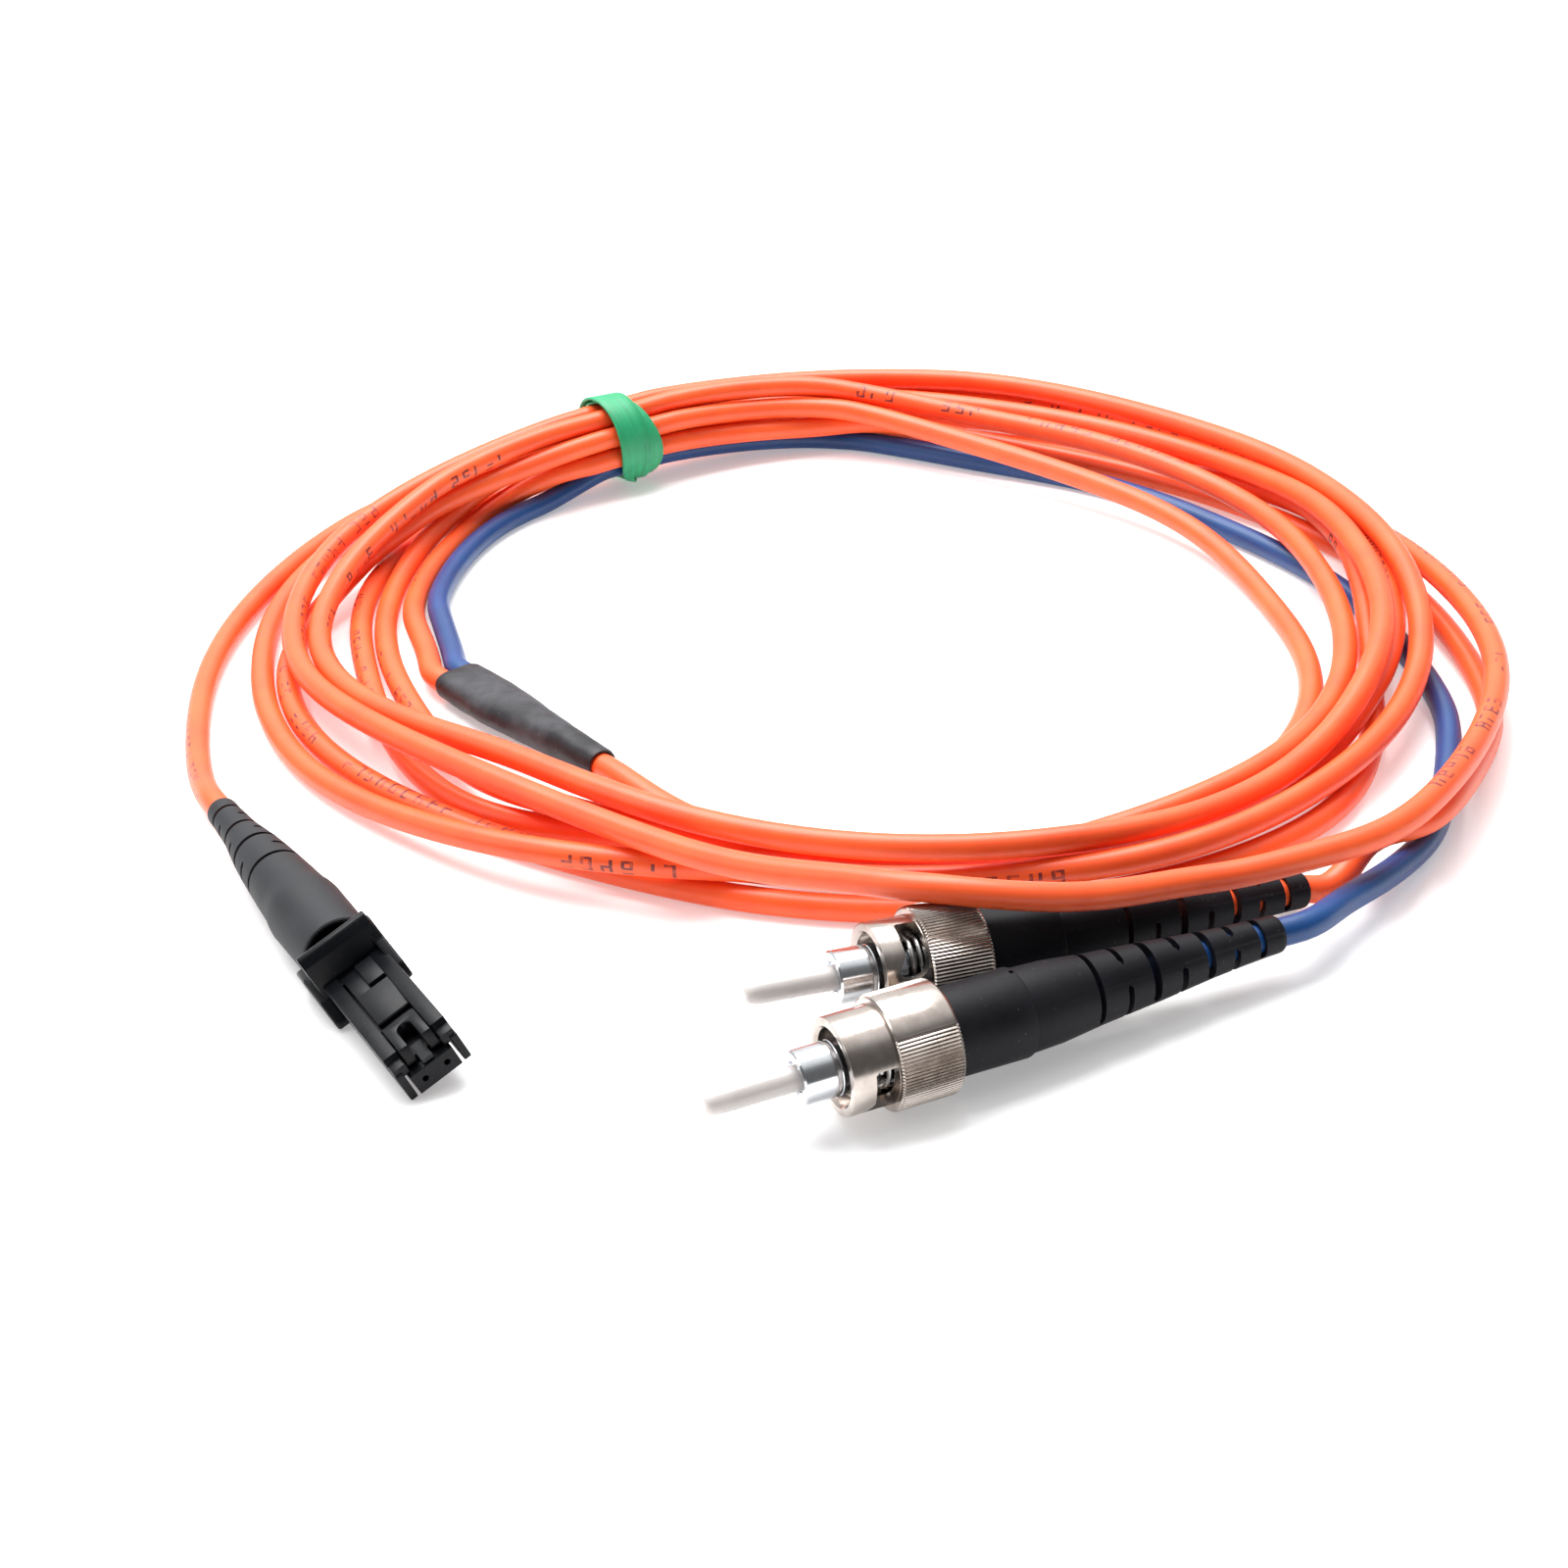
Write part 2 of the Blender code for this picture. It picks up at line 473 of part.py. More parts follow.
# bayonet connectors
for tag, (at, heading, tilt) in BAYONETS.items():
    x, y, z = axes_of(heading, 0.0, tilt)
    f = frame_empty("bayonet_%s_frame" % tag, at, (y, z, x))
    n = "bayonet_%s_" % tag
    turned(n + "ferrule", [(0, TIP), (0.6, TIP), (0.95, TIP - 0.2), (1.2, TIP - 0.65), (1.25, TIP - 1.1), (1.25, -1.0), (0, -1.0)],
           CERAMIC, f, steps=20)
    turned(n + "barrel", [(0, -1.3), (1.55, -1.3), (1.55, 3.95), (2.55, 3.95), (2.75, 3.75), (2.75, -2.0), (3.4, -2.0), (3.4, -3.0),
                          (2.3, -3.0), (2.3, -21.0), (0, -21.0)], STEEL, f, steps=24)
    turned(n + "washer", [(2.7, -8.3), (3.45, -8.3), (3.45, -8.9), (2.7, -8.9)], STEEL, f, closed=True, steps=24)
    cu = bpy.data.curves.new(n + "spring", "CURVE")
    cu.dimensions = "3D"
    sp = cu.splines.new("POLY")
    turns, per = 3, 12
    sp.points.add(turns * per)
    for i, p in enumerate(sp.points):
        a = math.tau * i / per
        p.co = (3.05 * MM * math.cos(a), 3.05 * MM * math.sin(a), (-3.65 - 0.85 * i / per) * MM, 1.0)
    cu.bevel_depth = 0.27 * MM
    cu.bevel_resolution = 1
    cu.use_fill_caps = True
    cu.materials.append(STEEL)
    place(bpy.data.objects.new(n + "spring", cu), f)
    nut = turned(n + "nut", [(NUT_FRONT_R - 0.25, 0), (NUT_FRONT_R, -0.25), (NUT_FRONT_R, -NUT_STEP), (NUT_R - 0.25, -NUT_STEP),
                             (NUT_R, -NUT_STEP - 0.25), (NUT_R, -NUT_L + 0.4), (NUT_R - 0.4, -NUT_L), (2.7, -NUT_L), (2.7, -9.2),
                             (NUT_BORE_R, -9.2), (NUT_BORE_R, 0)], NICKEL, f, closed=True, steps=36)
    for k in range(2):
        # bayonet slot: a slanting way in from the front, ending in a round seat
        turn0 = math.pi * k + (-0.9 if tag == "front" else 0.2)
        seat = bpy.data.objects.new(n + "seat_%d" % k, bpy.data.meshes.new("seat"))
        bm = bmesh.new()
        bmesh.ops.create_cone(bm, cap_ends=True, segments=16, radius1=1.15 * MM, radius2=1.15 * MM, depth=4.0 * MM,
                              matrix=Matrix.Rotation(turn0, 4, "Z") @ Matrix.Translation((4.6 * MM, 0, -3.2 * MM))
                              @ Matrix.Rotation(math.pi / 2, 4, "Y"))
        bm.to_mesh(seat.data)
        bm.free()
        place(seat, f, home=cutters)
        join(nut, seat, "DIFFERENCE")
    turned(n + "boot", [(0, -21.4), (2.65, -21.4), (2.65, -11.7)] + BOOT_SIDE + [(0, -BOOT_END)], BOOT, f, steps=24)
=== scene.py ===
import math

import bmesh
import bpy
import numpy as np
from mathutils import Matrix, Vector


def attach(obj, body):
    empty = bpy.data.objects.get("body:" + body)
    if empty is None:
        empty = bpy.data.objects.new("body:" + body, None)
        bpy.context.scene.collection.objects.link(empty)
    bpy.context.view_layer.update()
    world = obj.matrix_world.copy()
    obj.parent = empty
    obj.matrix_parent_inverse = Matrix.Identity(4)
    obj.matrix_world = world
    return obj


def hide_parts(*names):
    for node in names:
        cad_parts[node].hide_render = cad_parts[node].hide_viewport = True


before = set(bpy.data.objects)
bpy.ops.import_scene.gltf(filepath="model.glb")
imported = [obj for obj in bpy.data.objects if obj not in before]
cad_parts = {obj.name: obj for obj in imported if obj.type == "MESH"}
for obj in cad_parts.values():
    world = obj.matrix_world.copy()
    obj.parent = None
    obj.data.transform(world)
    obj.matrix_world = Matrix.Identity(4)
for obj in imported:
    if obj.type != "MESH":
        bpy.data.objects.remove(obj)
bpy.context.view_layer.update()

MM = 0.001

# ---------------------------------------------------------------- dimensions
CABLE_D = 3.0                 # jacket diameter, mm
COIL_CENTRE = (0.0, 15.0)     # plan centre that the clock angles turn about
CLOCK = 22.5                  # degrees between the stations of a turn

# Each turn of the coil by the clock, from the left side (0) over the back (90)
# and the right side (180) to the front (270): reach from the coil's centre and
# height of the cable's centre line, mm. The 67.5 station is the band's.
LEAD_IN = [(81.2, 3.0)]
TURNS = [
    ([79.3, 79.9, 80.3, 71.0, 77.5, 77.0, 75.0, 76.0, 78.0, 85.0, 90.5, 87.6, 81.0, 64.5, 59.5, 61.5],
     [1.5, 1.5, 1.5, 5.0, 2.0, 1.5, 1.5, 2.5, 5.5, 6.5, 8.0, 8.5, 11.0, 8.0, 7.5, 6.0]),
    ([67.5, 71.0, 69.5, 69.0, 73.5, 75.0, 71.5, 71.5, 73.5, 76.0, 76.5, 74.5, 66.0, 66.5, 66.5, 69.0],
     [4.5, 6.5, 9.0, 10.5, 9.0, 8.0, 8.0, 7.5, 7.7, 5.5, 4.5, 4.0, 2.5, 4.5, 3.0, 1.5]),
    ([72.0, 76.5, 75.5, 71.0, 76.5, 75.5, 75.5, 75.5, 72.5, 72.0, 70.5, 67.0, 62.0, 58.0, 56.0, 53.0],
     [1.5, 1.5, 4.5, 8.0, 6.5, 5.5, 4.5, 3.5, 4.6, 4.6, 3.0, 4.0, 4.7, 4.7, 3.5, 1.5]),
    ([55.5, 61.0, 65.5, 67.0, 71.5, 70.0, 70.0, 71.0, 70.0, 71.5, 72.5, 72.0, 66.0, 58.5, 54.0, 58.0],
     [1.5, 1.5, 4.5, 6.5, 7.0, 6.5, 6.0, 6.5, 7.7, 7.7, 5.0, 6.5, 7.5, 7.7, 7.0, 5.5]),
    ([64.5, 66.0, 65.0, 66.0, 68.0, 64.0, 63.5, 65.0, 65.0, 67.5, 69.5, 65.5, 61.0, 55.5, 58.5, 57.5],
     [4.5, 6.5, 9.0, 10.5, 9.0, 7.0, 6.0, 4.5, 4.6, 4.5, 4.0, 2.5, 1.5, 1.5, 1.5, 1.5]),
    ([59.0, 65.5, 68.5, 68.5, 71.5, 68.5, 68.5, 71.0, 70.0, 70.5, 77.5, 74.5, 68.5, 63.0, 62.0, 65.5],
     [1.5, 1.5, 2.0, 3.0, 2.0, 1.5, 1.5, 3.5, 4.6, 1.5, 1.5, 1.5, 1.5, 1.5, 1.5, 1.5]),
    ([69.0, 67.5, 65.0, 64.0, 68.0, 59.5, 55.6, 56.1, 58.1, 63.5, 67.0, 65.0, 58.5],
     [1.5, 2.5, 6.5, 8.5, 6.5, 5.0, 4.0, 3.0, 1.5, 1.5, 1.5, 1.5, 1.5]),
]
# the first turn lies over the rear connector's boot and nut here
OVER_BOOT = [(10, (54.8, -58.3, 8.3)), (10, (47.0, -61.6, 8.2)), (10, (39.5, -64.2, 8.2)), (11, (24.5, -69.7, 9.6)),
             (11, (16.0, -71.9, 11.0)), (11, (8.0, -71.2, 11.7)), (12, (-10.9, -57.6, 9.2))]
ORANGE_LEG = ([50.3, 58.5, 67.0, 63.5, 66.5, 65.0, 66.5, 70.0, 76.5, 84.2],
              [2.0, 1.5, 2.5, 5.5, 4.0, 2.0, 1.5, 1.5, 1.5, 1.5])
BLUE_LEG = ([47.9, 56.0, 63.0, 65.5, 69.5, 62.0, 60.5, 62.0, 68.5, 78.7],
            [2.0, 1.5, 1.5, 3.0, 2.0, 1.5, 1.5, 1.5, 1.5, 1.5])

# The band: its centre, the heading of the bundle in it, and the place of each
# strand round the bundle, degrees from the near side over the top.
BAND_AT = (-26.7, 76.3, 6.95)
BAND_HEADING = 30.0
BUNDLE_R = 4.1
SLOTS = [205, 115, 160, None, 70, 250, 25]
SLOT_ORANGE, SLOT_BLUE = -20, -65


def clock_point(deg, reach, height):
    a = math.radians(deg)
    return (COIL_CENTRE[0] - reach * math.cos(a), COIL_CENTRE[1] + reach * math.sin(a), height)


def band_points(slot):
    h = math.radians(BAND_HEADING)
    along = np.array([math.cos(h), math.sin(h), 0.0])
    back = np.array([-math.sin(h), math.cos(h), 0.0])
    c = np.array(BAND_AT)
    if slot is None:
        off = np.zeros(3)
    else:
        a = math.radians(slot)
        off = -back * BUNDLE_R * math.cos(a) + np.array([0, 0, BUNDLE_R * math.sin(a)])
    return [tuple(c + off + along * s) for s in (-6.0, 0.0, 6.0)]


def turn_points(reach, height, slot, extra=()):
    """Stations of a turn; extra holds (station before, point) pairs."""
    out = []
    for i, (r, z) in enumerate(zip(reach, height)):
        if i == 3:
            out += band_points(slot)
        else:
            out.append(clock_point(i * CLOCK, r, z))
        out += [q for at, q in extra if at == i]
    return out


def smooth_curve(points, step):
    """Natural cubic spline through the points, read at equal steps of length."""
    p = np.array(points, dtype=float)
    t = np.concatenate([[0.0], np.cumsum(np.sqrt(np.linalg.norm(np.diff(p, axis=0), axis=1)))])
    n = len(t)
    h = np.diff(t)
    A = np.zeros((n, n))
    rhs = np.zeros((n, 3))
    A[0, 0] = A[-1, -1] = 1.0
    for i in range(1, n - 1):
        A[i, i - 1] = h[i - 1]
        A[i, i] = 2 * (h[i - 1] + h[i])
        A[i, i + 1] = h[i]
        rhs[i] = 6 * ((p[i + 1] - p[i]) / h[i] - (p[i] - p[i - 1]) / h[i - 1])
    m = np.linalg.solve(A, rhs)
    dense = []
    for i in range(n - 1):
        k = 24
        for j in range(k):
            u = j / k * h[i]
            a = h[i] - u
            dense.append(m[i] * a ** 3 / (6 * h[i]) + m[i + 1] * u ** 3 / (6 * h[i])
                         + (p[i] / h[i] - m[i] * h[i] / 6) * a + (p[i + 1] / h[i] - m[i + 1] * h[i] / 6) * u)
    dense.append(p[-1])
    dense = np.array(dense)
    return read_at(dense, step)


def read_at(dense, step):
    s = np.concatenate([[0.0], np.cumsum(np.linalg.norm(np.diff(dense, axis=0), axis=1))])
    count = max(2, int(round(s[-1] / step)) + 1)
    q = np.linspace(0.0, s[-1], count)
    return np.stack([np.interp(q, s, dense[:, k]) for k in range(3)], axis=1)


def settle(cords, pinned, blocks, gap, radius, rounds=420):
    """Lets the strands come down on each other, on the floor and on the hard pieces.

    cords: list of (n,3) arrays; pinned: list of boolean arrays; blocks: capsules
    (a, b, ra, rb); gap: least distance between two centre lines."""
    P = np.concatenate(cords)
    start = P.copy()
    pin = np.concatenate(pinned)
    ids = np.concatenate([np.full(len(c), k) for k, c in enumerate(cords)])
    pos = np.concatenate([np.arange(len(c)) for c in cords])
    N = len(P)
    seg = np.array([i for i in range(N - 1) if ids[i] == ids[i + 1]])
    inner = np.array([i for i in range(1, N - 1) if ids[i - 1] == ids[i] == ids[i + 1]])
    step = float(np.median(np.linalg.norm(P[seg + 1] - P[seg], axis=1)))
    reach = int(math.ceil(4 * gap / step))
    pi = sj = None
    for it in range(rounds):
        if it % 15 == 0:
            mid = 0.5 * (P[seg] + P[seg + 1])
            d2 = ((P[:, None, :2] - mid[None, :, :2]) ** 2).sum(2)
            near = d2 < (gap + step) ** 2
            same = (ids[:, None] == ids[seg][None, :]) & (np.abs(pos[:, None] - pos[seg][None, :]) < reach)
            near &= ~same
            pi, sj = np.nonzero(near)
            sj = seg[sj]
        last = it > rounds - 120
        move = np.zeros_like(P)
        hits = np.zeros(N)
        a, b = P[sj], P[sj + 1]
        ab = b - a
        t = np.clip(((P[pi] - a) * ab).sum(1) / (ab * ab).sum(1), 0, 1)
        v = P[pi] - (a + ab * t[:, None])
        d = np.linalg.norm(v, axis=1)
        m = d < gap
        if m.any():
            i, j, tt = pi[m], sj[m], t[m]
            push = v[m] / np.maximum(d[m], 1e-6)[:, None] * ((gap - d[m]) * 0.5)[:, None]
            np.add.at(move, i, push)
            np.add.at(hits, i, 1)
            np.add.at(move, j, -push * (1 - tt)[:, None])
            np.add.at(move, j + 1, -push * tt[:, None])
            np.add.at(hits, j, (1 - tt))
            np.add.at(hits, j + 1, tt)
        move /= np.maximum(hits, 1.0)[:, None] ** 0.5
        P[~pin] += move[~pin] * 0.9
        for (ca, cb, ra, rb) in blocks:
            ca = np.array(ca)
            cb = np.array(cb)
            ax = cb - ca
            tt = np.clip(((P - ca) @ ax) / (ax @ ax), 0, 1)
            q = P - (ca + ax * tt[:, None])
            dd = np.linalg.norm(q, axis=1)
            rr = ra + (rb - ra) * tt + radius
            k = (dd < rr) & ~pin
            P[k] += q[k] / dd[k][:, None] * (rr[k] - dd[k])[:, None]
        # stiffness: the change from the plan stays smooth along the cable
        free = ~pin[inner]
        if not last:
            P[~pin] -= (P - start)[~pin] * 0.012
        for _ in range(3 if not last else 1):
            D = P - start
            lap = 0.5 * (D[inner - 1] + D[inner + 1]) - D[inner]
            P[inner[free]] += lap[free] * (0.45 if not last else 0.10)
        low = (P[:, 2] < radius) & ~pin
        P[low, 2] = radius
    out = []
    at = 0
    for c in cords:
        out.append(P[at:at + len(c)])
        at += len(c)
    return out


# Duplex plug: its frame's origin is the middle of the bottom front edge, x
# forward out of the plug, y to its raised side, z out of its latch face.
PLUG_AT = (-41.3, -80.3, 1.39)
PLUG_HEADING, PLUG_ROLL = -62.1, 22.0
PLUG_W, PLUG_H, PLUG_L = 7.3, 4.8, 24.0
PLUG_AXIS_H = 3.4            # height of the cable's line above the bottom face
PLUG_BOOT_END = 59.9
FERRULE_W, FERRULE_H = 5.0, 2.45

# Bayonet connectors: the middle of the nut's front face, the heading of the
# tip, and how far the boot slopes down, degrees.
BAYONETS = {"front": ((-3.35, -89.8, 6.05), 202.9, 1.0), "rear": ((1.0, -74.8, 6.8), 199.8, 5.0)}
NUT_R, NUT_FRONT_R, NUT_BORE_R = 5.75, 4.9, 3.8
NUT_L, NUT_STEP = 11.3, 4.7
TIP = 13.1                   # the ferrule's tip in front of the nut
BOOT_END = 49.5
# outer side of the boot: radius at each distance behind the nut's front face
BOOT_SIDE = [(4.45, -11.7), (4.55, -19.6), (4.3, -20.0), (4.15, -23.4), (3.65, -27.8), (3.05, -34.9),
             (2.4, -41.3), (2.0, -47.6), (1.95, -49.1), (1.85, -49.5)]
NUT_TRAVEL = 1.5

# Breakout sleeve: the two ends of its axis, legs' end first.
SLEEVE_A, SLEEVE_B = (-46.2, 6.6, 2.5), (-27.2, -19.5, 2.6)
# its half width and half height at each distance from the legs' end
SLEEVE_SIDE = [(0.0, 3.15, 1.75), (1.5, 3.3, 1.85), (6.0, 3.6, 2.05), (11.0, 3.65, 2.2), (17.0, 3.1, 2.25),
               (23.0, 2.5, 2.25), (28.0, 2.2, 2.15), (32.3, 2.05, 2.05)]
# Everything is moved by this, so that the connectors, sleeve and band are
# centred on the origin.
CENTRING = np.array([11.97, 5.95, 0.0])
GAP = 0.3
STEP = 2.5                   # spacing of the settled points
TUBE_EVERY = 3               # the tube takes every third of them


def axes_of(heading, roll=0.0, pitch=0.0):
    h, r, p = map(math.radians, (heading, roll, pitch))
    x = np.array([math.cos(h) * math.cos(p), math.sin(h) * math.cos(p), math.sin(p)])
    y = np.array([-math.sin(h), math.cos(h), 0.0])
    z = np.cross(x, y)
    return x, y * math.cos(r) + z * math.sin(r), -y * math.sin(r) + z * math.cos(r)


def routes():
    """The three cords' settled centre lines, mm."""
    px, py, pz = axes_of(PLUG_HEADING, PLUG_ROLL)
    plug = np.array(PLUG_AT)
    plug_end = plug - PLUG_BOOT_END * px + PLUG_AXIS_H * pz
    a, b = np.array(SLEEVE_A), np.array(SLEEVE_B)
    d = (b - a) / np.linalg.norm(b - a)
    side = np.array([-d[1], d[0], 0.0])
    side /= np.linalg.norm(side)
    con = {k: (np.array(p), axes_of(h, 0.0, t)[0]) for k, (p, h, t) in BAYONETS.items()}
    end = {k: p - BOOT_END * x for k, (p, x) in con.items()}

    main = [plug_end - px * GAP, plug_end - px * 3.0, clock_point(-22.5, *LEAD_IN[0])]
    for k, ((reach, height), slot) in enumerate(zip(TURNS, SLOTS)):
        main += turn_points(reach, height, slot, OVER_BOOT if k == 0 else ())
    main += [clock_point(290.0, 50.5, 2.0), b + d * 4.0, b + d * GAP]
    orange = [a - d * GAP - side * 1.6, a - d * 2.5 - side * 1.65]
    orange += turn_points(ORANGE_LEG[0], ORANGE_LEG[1], SLOT_ORANGE, [(0, (-53.2, 26.0, 2.0))])
    orange += [(74.2, -28.7, 1.7), (69.5, -38.4, 3.2), (65.0, -46.8, 4.7), (60.4, -51.0, 5.0), (55.8, -52.5, 4.6),
               end["rear"] - con["rear"][1] * 4.0, end["rear"] - con["rear"][1] * GAP]
    blue = [a - d * GAP + side * 1.6, a - d * 2.5 + side * 1.65]
    blue += turn_points(BLUE_LEG[0], BLUE_LEG[1], SLOT_BLUE, [(0, (-50.4, 25.5, 2.0))])
    blue += [(71.7, -24.6, 1.5), (69.8, -32.3, 1.5), (67.3, -39.9, 1.5), (63.8, -47.5, 1.7), (59.6, -53.4, 2.2),
             (54.9, -59.0, 3.2), (50.3, -64.0, 4.2),
             end["front"] - con["front"][1] * 4.0, end["front"] - con["front"][1] * GAP]
    cords = [smooth_curve(c, STEP) for c in (main, orange, blue)]

    h = math.radians(BAND_HEADING)
    along = np.array([math.cos(h), math.sin(h), 0.0])
    pinned = []
    for c in cords:
        q = c - np.array(BAND_AT)
        s = q @ along
        off = np.linalg.norm(q - np.outer(s, along), axis=1)
        p = (np.abs(s) < 6.2) & (off < 6.0)
        p[:2] = True
        p[-2:] = True
        pinned.append(p)
    blocks = []
    for p, x in con.values():
        blocks += [(p, p - 11.5 * x, 6.0, 6.0), (p - 11.5 * x, p - 23.4 * x, 4.85, 4.5),
                   (p - 23.4 * x, p - 41.3 * x, 4.45, 2.75), (p - 41.3 * x, p - 49.2 * x, 2.75, 2.3),
                   (p, p + TIP * x, 3.0, 1.5)]
    blocks += [(plug - 18.0 * px + PLUG_AXIS_H * pz, plug - 59.5 * px + PLUG_AXIS_H * pz, 5.0, 2.2)]
    blocks += [(a + d * 9.0, b - d * 0.5, 3.4, 2.5)]
    return settle(cords, pinned, blocks, 3.2, CABLE_D / 2)


C3 = CENTRING

# ------------------------------------------------------------------- camera
PITCH, ROLL, FOCAL_PX = 28.5, -4.0, 2700.0
p, r = math.radians(PITCH), math.radians(ROLL)
fwd = Vector((0, math.cos(p), -math.sin(p)))
right, up = Vector((1, 0, 0)), Vector((0, math.sin(p), math.cos(p)))
cx = right * math.cos(r) + up * math.sin(r)
cy = -right * math.sin(r) + up * math.cos(r)
cam_data = bpy.data.cameras.new("camera")
cam_data.sensor_width = 36.0
cam_data.lens = FOCAL_PX / 1600.0 * 36.0
cam_data.clip_start, cam_data.clip_end = 0.01, 10.0
cam = bpy.data.objects.new("camera", cam_data)
m = Matrix([[cx[i], cy[i], -fwd[i]] for i in range(3)]).to_4x4()
m.translation = Vector((-6.0 + C3[0], -295.0 + C3[1], 148.0)) * MM
cam.matrix_world = m
bpy.context.scene.collection.objects.link(cam)
bpy.context.scene.camera = cam

scene_col = bpy.context.scene.collection


# ------------------------------------------------------------ node materials
class Mat:
    """A small hand for building node materials."""

    def __init__(self, name, colour, rough, metal=0.0, **sockets):
        self.m = bpy.data.materials.new(name)
        self.m.use_nodes = True
        self.t = self.m.node_tree
        self.s = self.t.nodes["Principled BSDF"]
        self.s.inputs["Base Color"].default_value = (*colour, 1.0)
        self.s.inputs["Roughness"].default_value = rough
        self.s.inputs["Metallic"].default_value = metal
        for k, v in sockets.items():
            self.s.inputs[k.replace("_", " ")].default_value = v

    def node(self, kind, **props):
        n = self.t.nodes.new(kind)
        for k, v in props.items():
            setattr(n, k, v)
        return n

    def link(self, a, b):
        self.t.links.new(a, b)

    def math(self, op, a, b=None, c=None, clamp=False):
        n = self.node("ShaderNodeMath", operation=op, use_clamp=clamp)
        for i, v in enumerate((a, b, c)):
            if v is None:
                continue
            if isinstance(v, (int, float)):
                n.inputs[i].default_value = v
            else:
                self.link(v, n.inputs[i])
        return n.outputs[0]

    def noise(self, scale, detail=3.0, rough=0.55, vec=None, stretch=None):
        n = self.node("ShaderNodeTexNoise")
        n.inputs["Scale"].default_value = scale
        n.inputs["Detail"].default_value = detail
        n.inputs["Roughness"].default_value = rough
        if vec is None:
            vec = self.node("ShaderNodeTexCoord").outputs["Object"]
        if stretch is not None:
            mp = self.node("ShaderNodeMapping")
            mp.inputs["Scale"].default_value = stretch
            self.link(vec, mp.inputs["Vector"])
            vec = mp.outputs["Vector"]
        self.link(vec, n.inputs["Vector"])
        return n.outputs["Fac"]

    def ramp(self, fac, lo, hi, a, b):
        """fac from lo..hi mapped to a..b."""
        n = self.node("ShaderNodeMapRange")
        n.inputs["From Min"].default_value = lo
        n.inputs["From Max"].default_value = hi
        n.inputs["To Min"].default_value = a
        n.inputs["To Max"].default_value = b
        self.link(fac, n.inputs["Value"])
        return n.outputs["Result"]

    def mix(self, fac, a, b):
        n = self.node("ShaderNodeMix", data_type="RGBA")
        if isinstance(fac, (int, float)):
            n.inputs["Factor"].default_value = fac
        else:
            self.link(fac, n.inputs["Factor"])
        for key, v in (("A", a), ("B", b)):
            sock = [s for s in n.inputs if s.name == key and s.type == "RGBA"][0]
            if isinstance(v, tuple):
                sock.default_value = (*v, 1.0)
            else:
                self.link(v, sock)
        return [s for s in n.outputs if s.type == "RGBA"][0]

    def colour(self, c):
        self.link(c, self.s.inputs["Base Color"])

    def rough(self, v):
        self.link(v, self.s.inputs["Roughness"])

    def bump(self, height, dist_mm, strength=1.0):
        n = self.node("ShaderNodeBump")
        n.inputs["Strength"].default_value = strength
        n.inputs["Distance"].default_value = dist_mm * MM
        self.link(height, n.inputs["Height"])
        self.link(n.outputs["Normal"], self.s.inputs["Normal"])


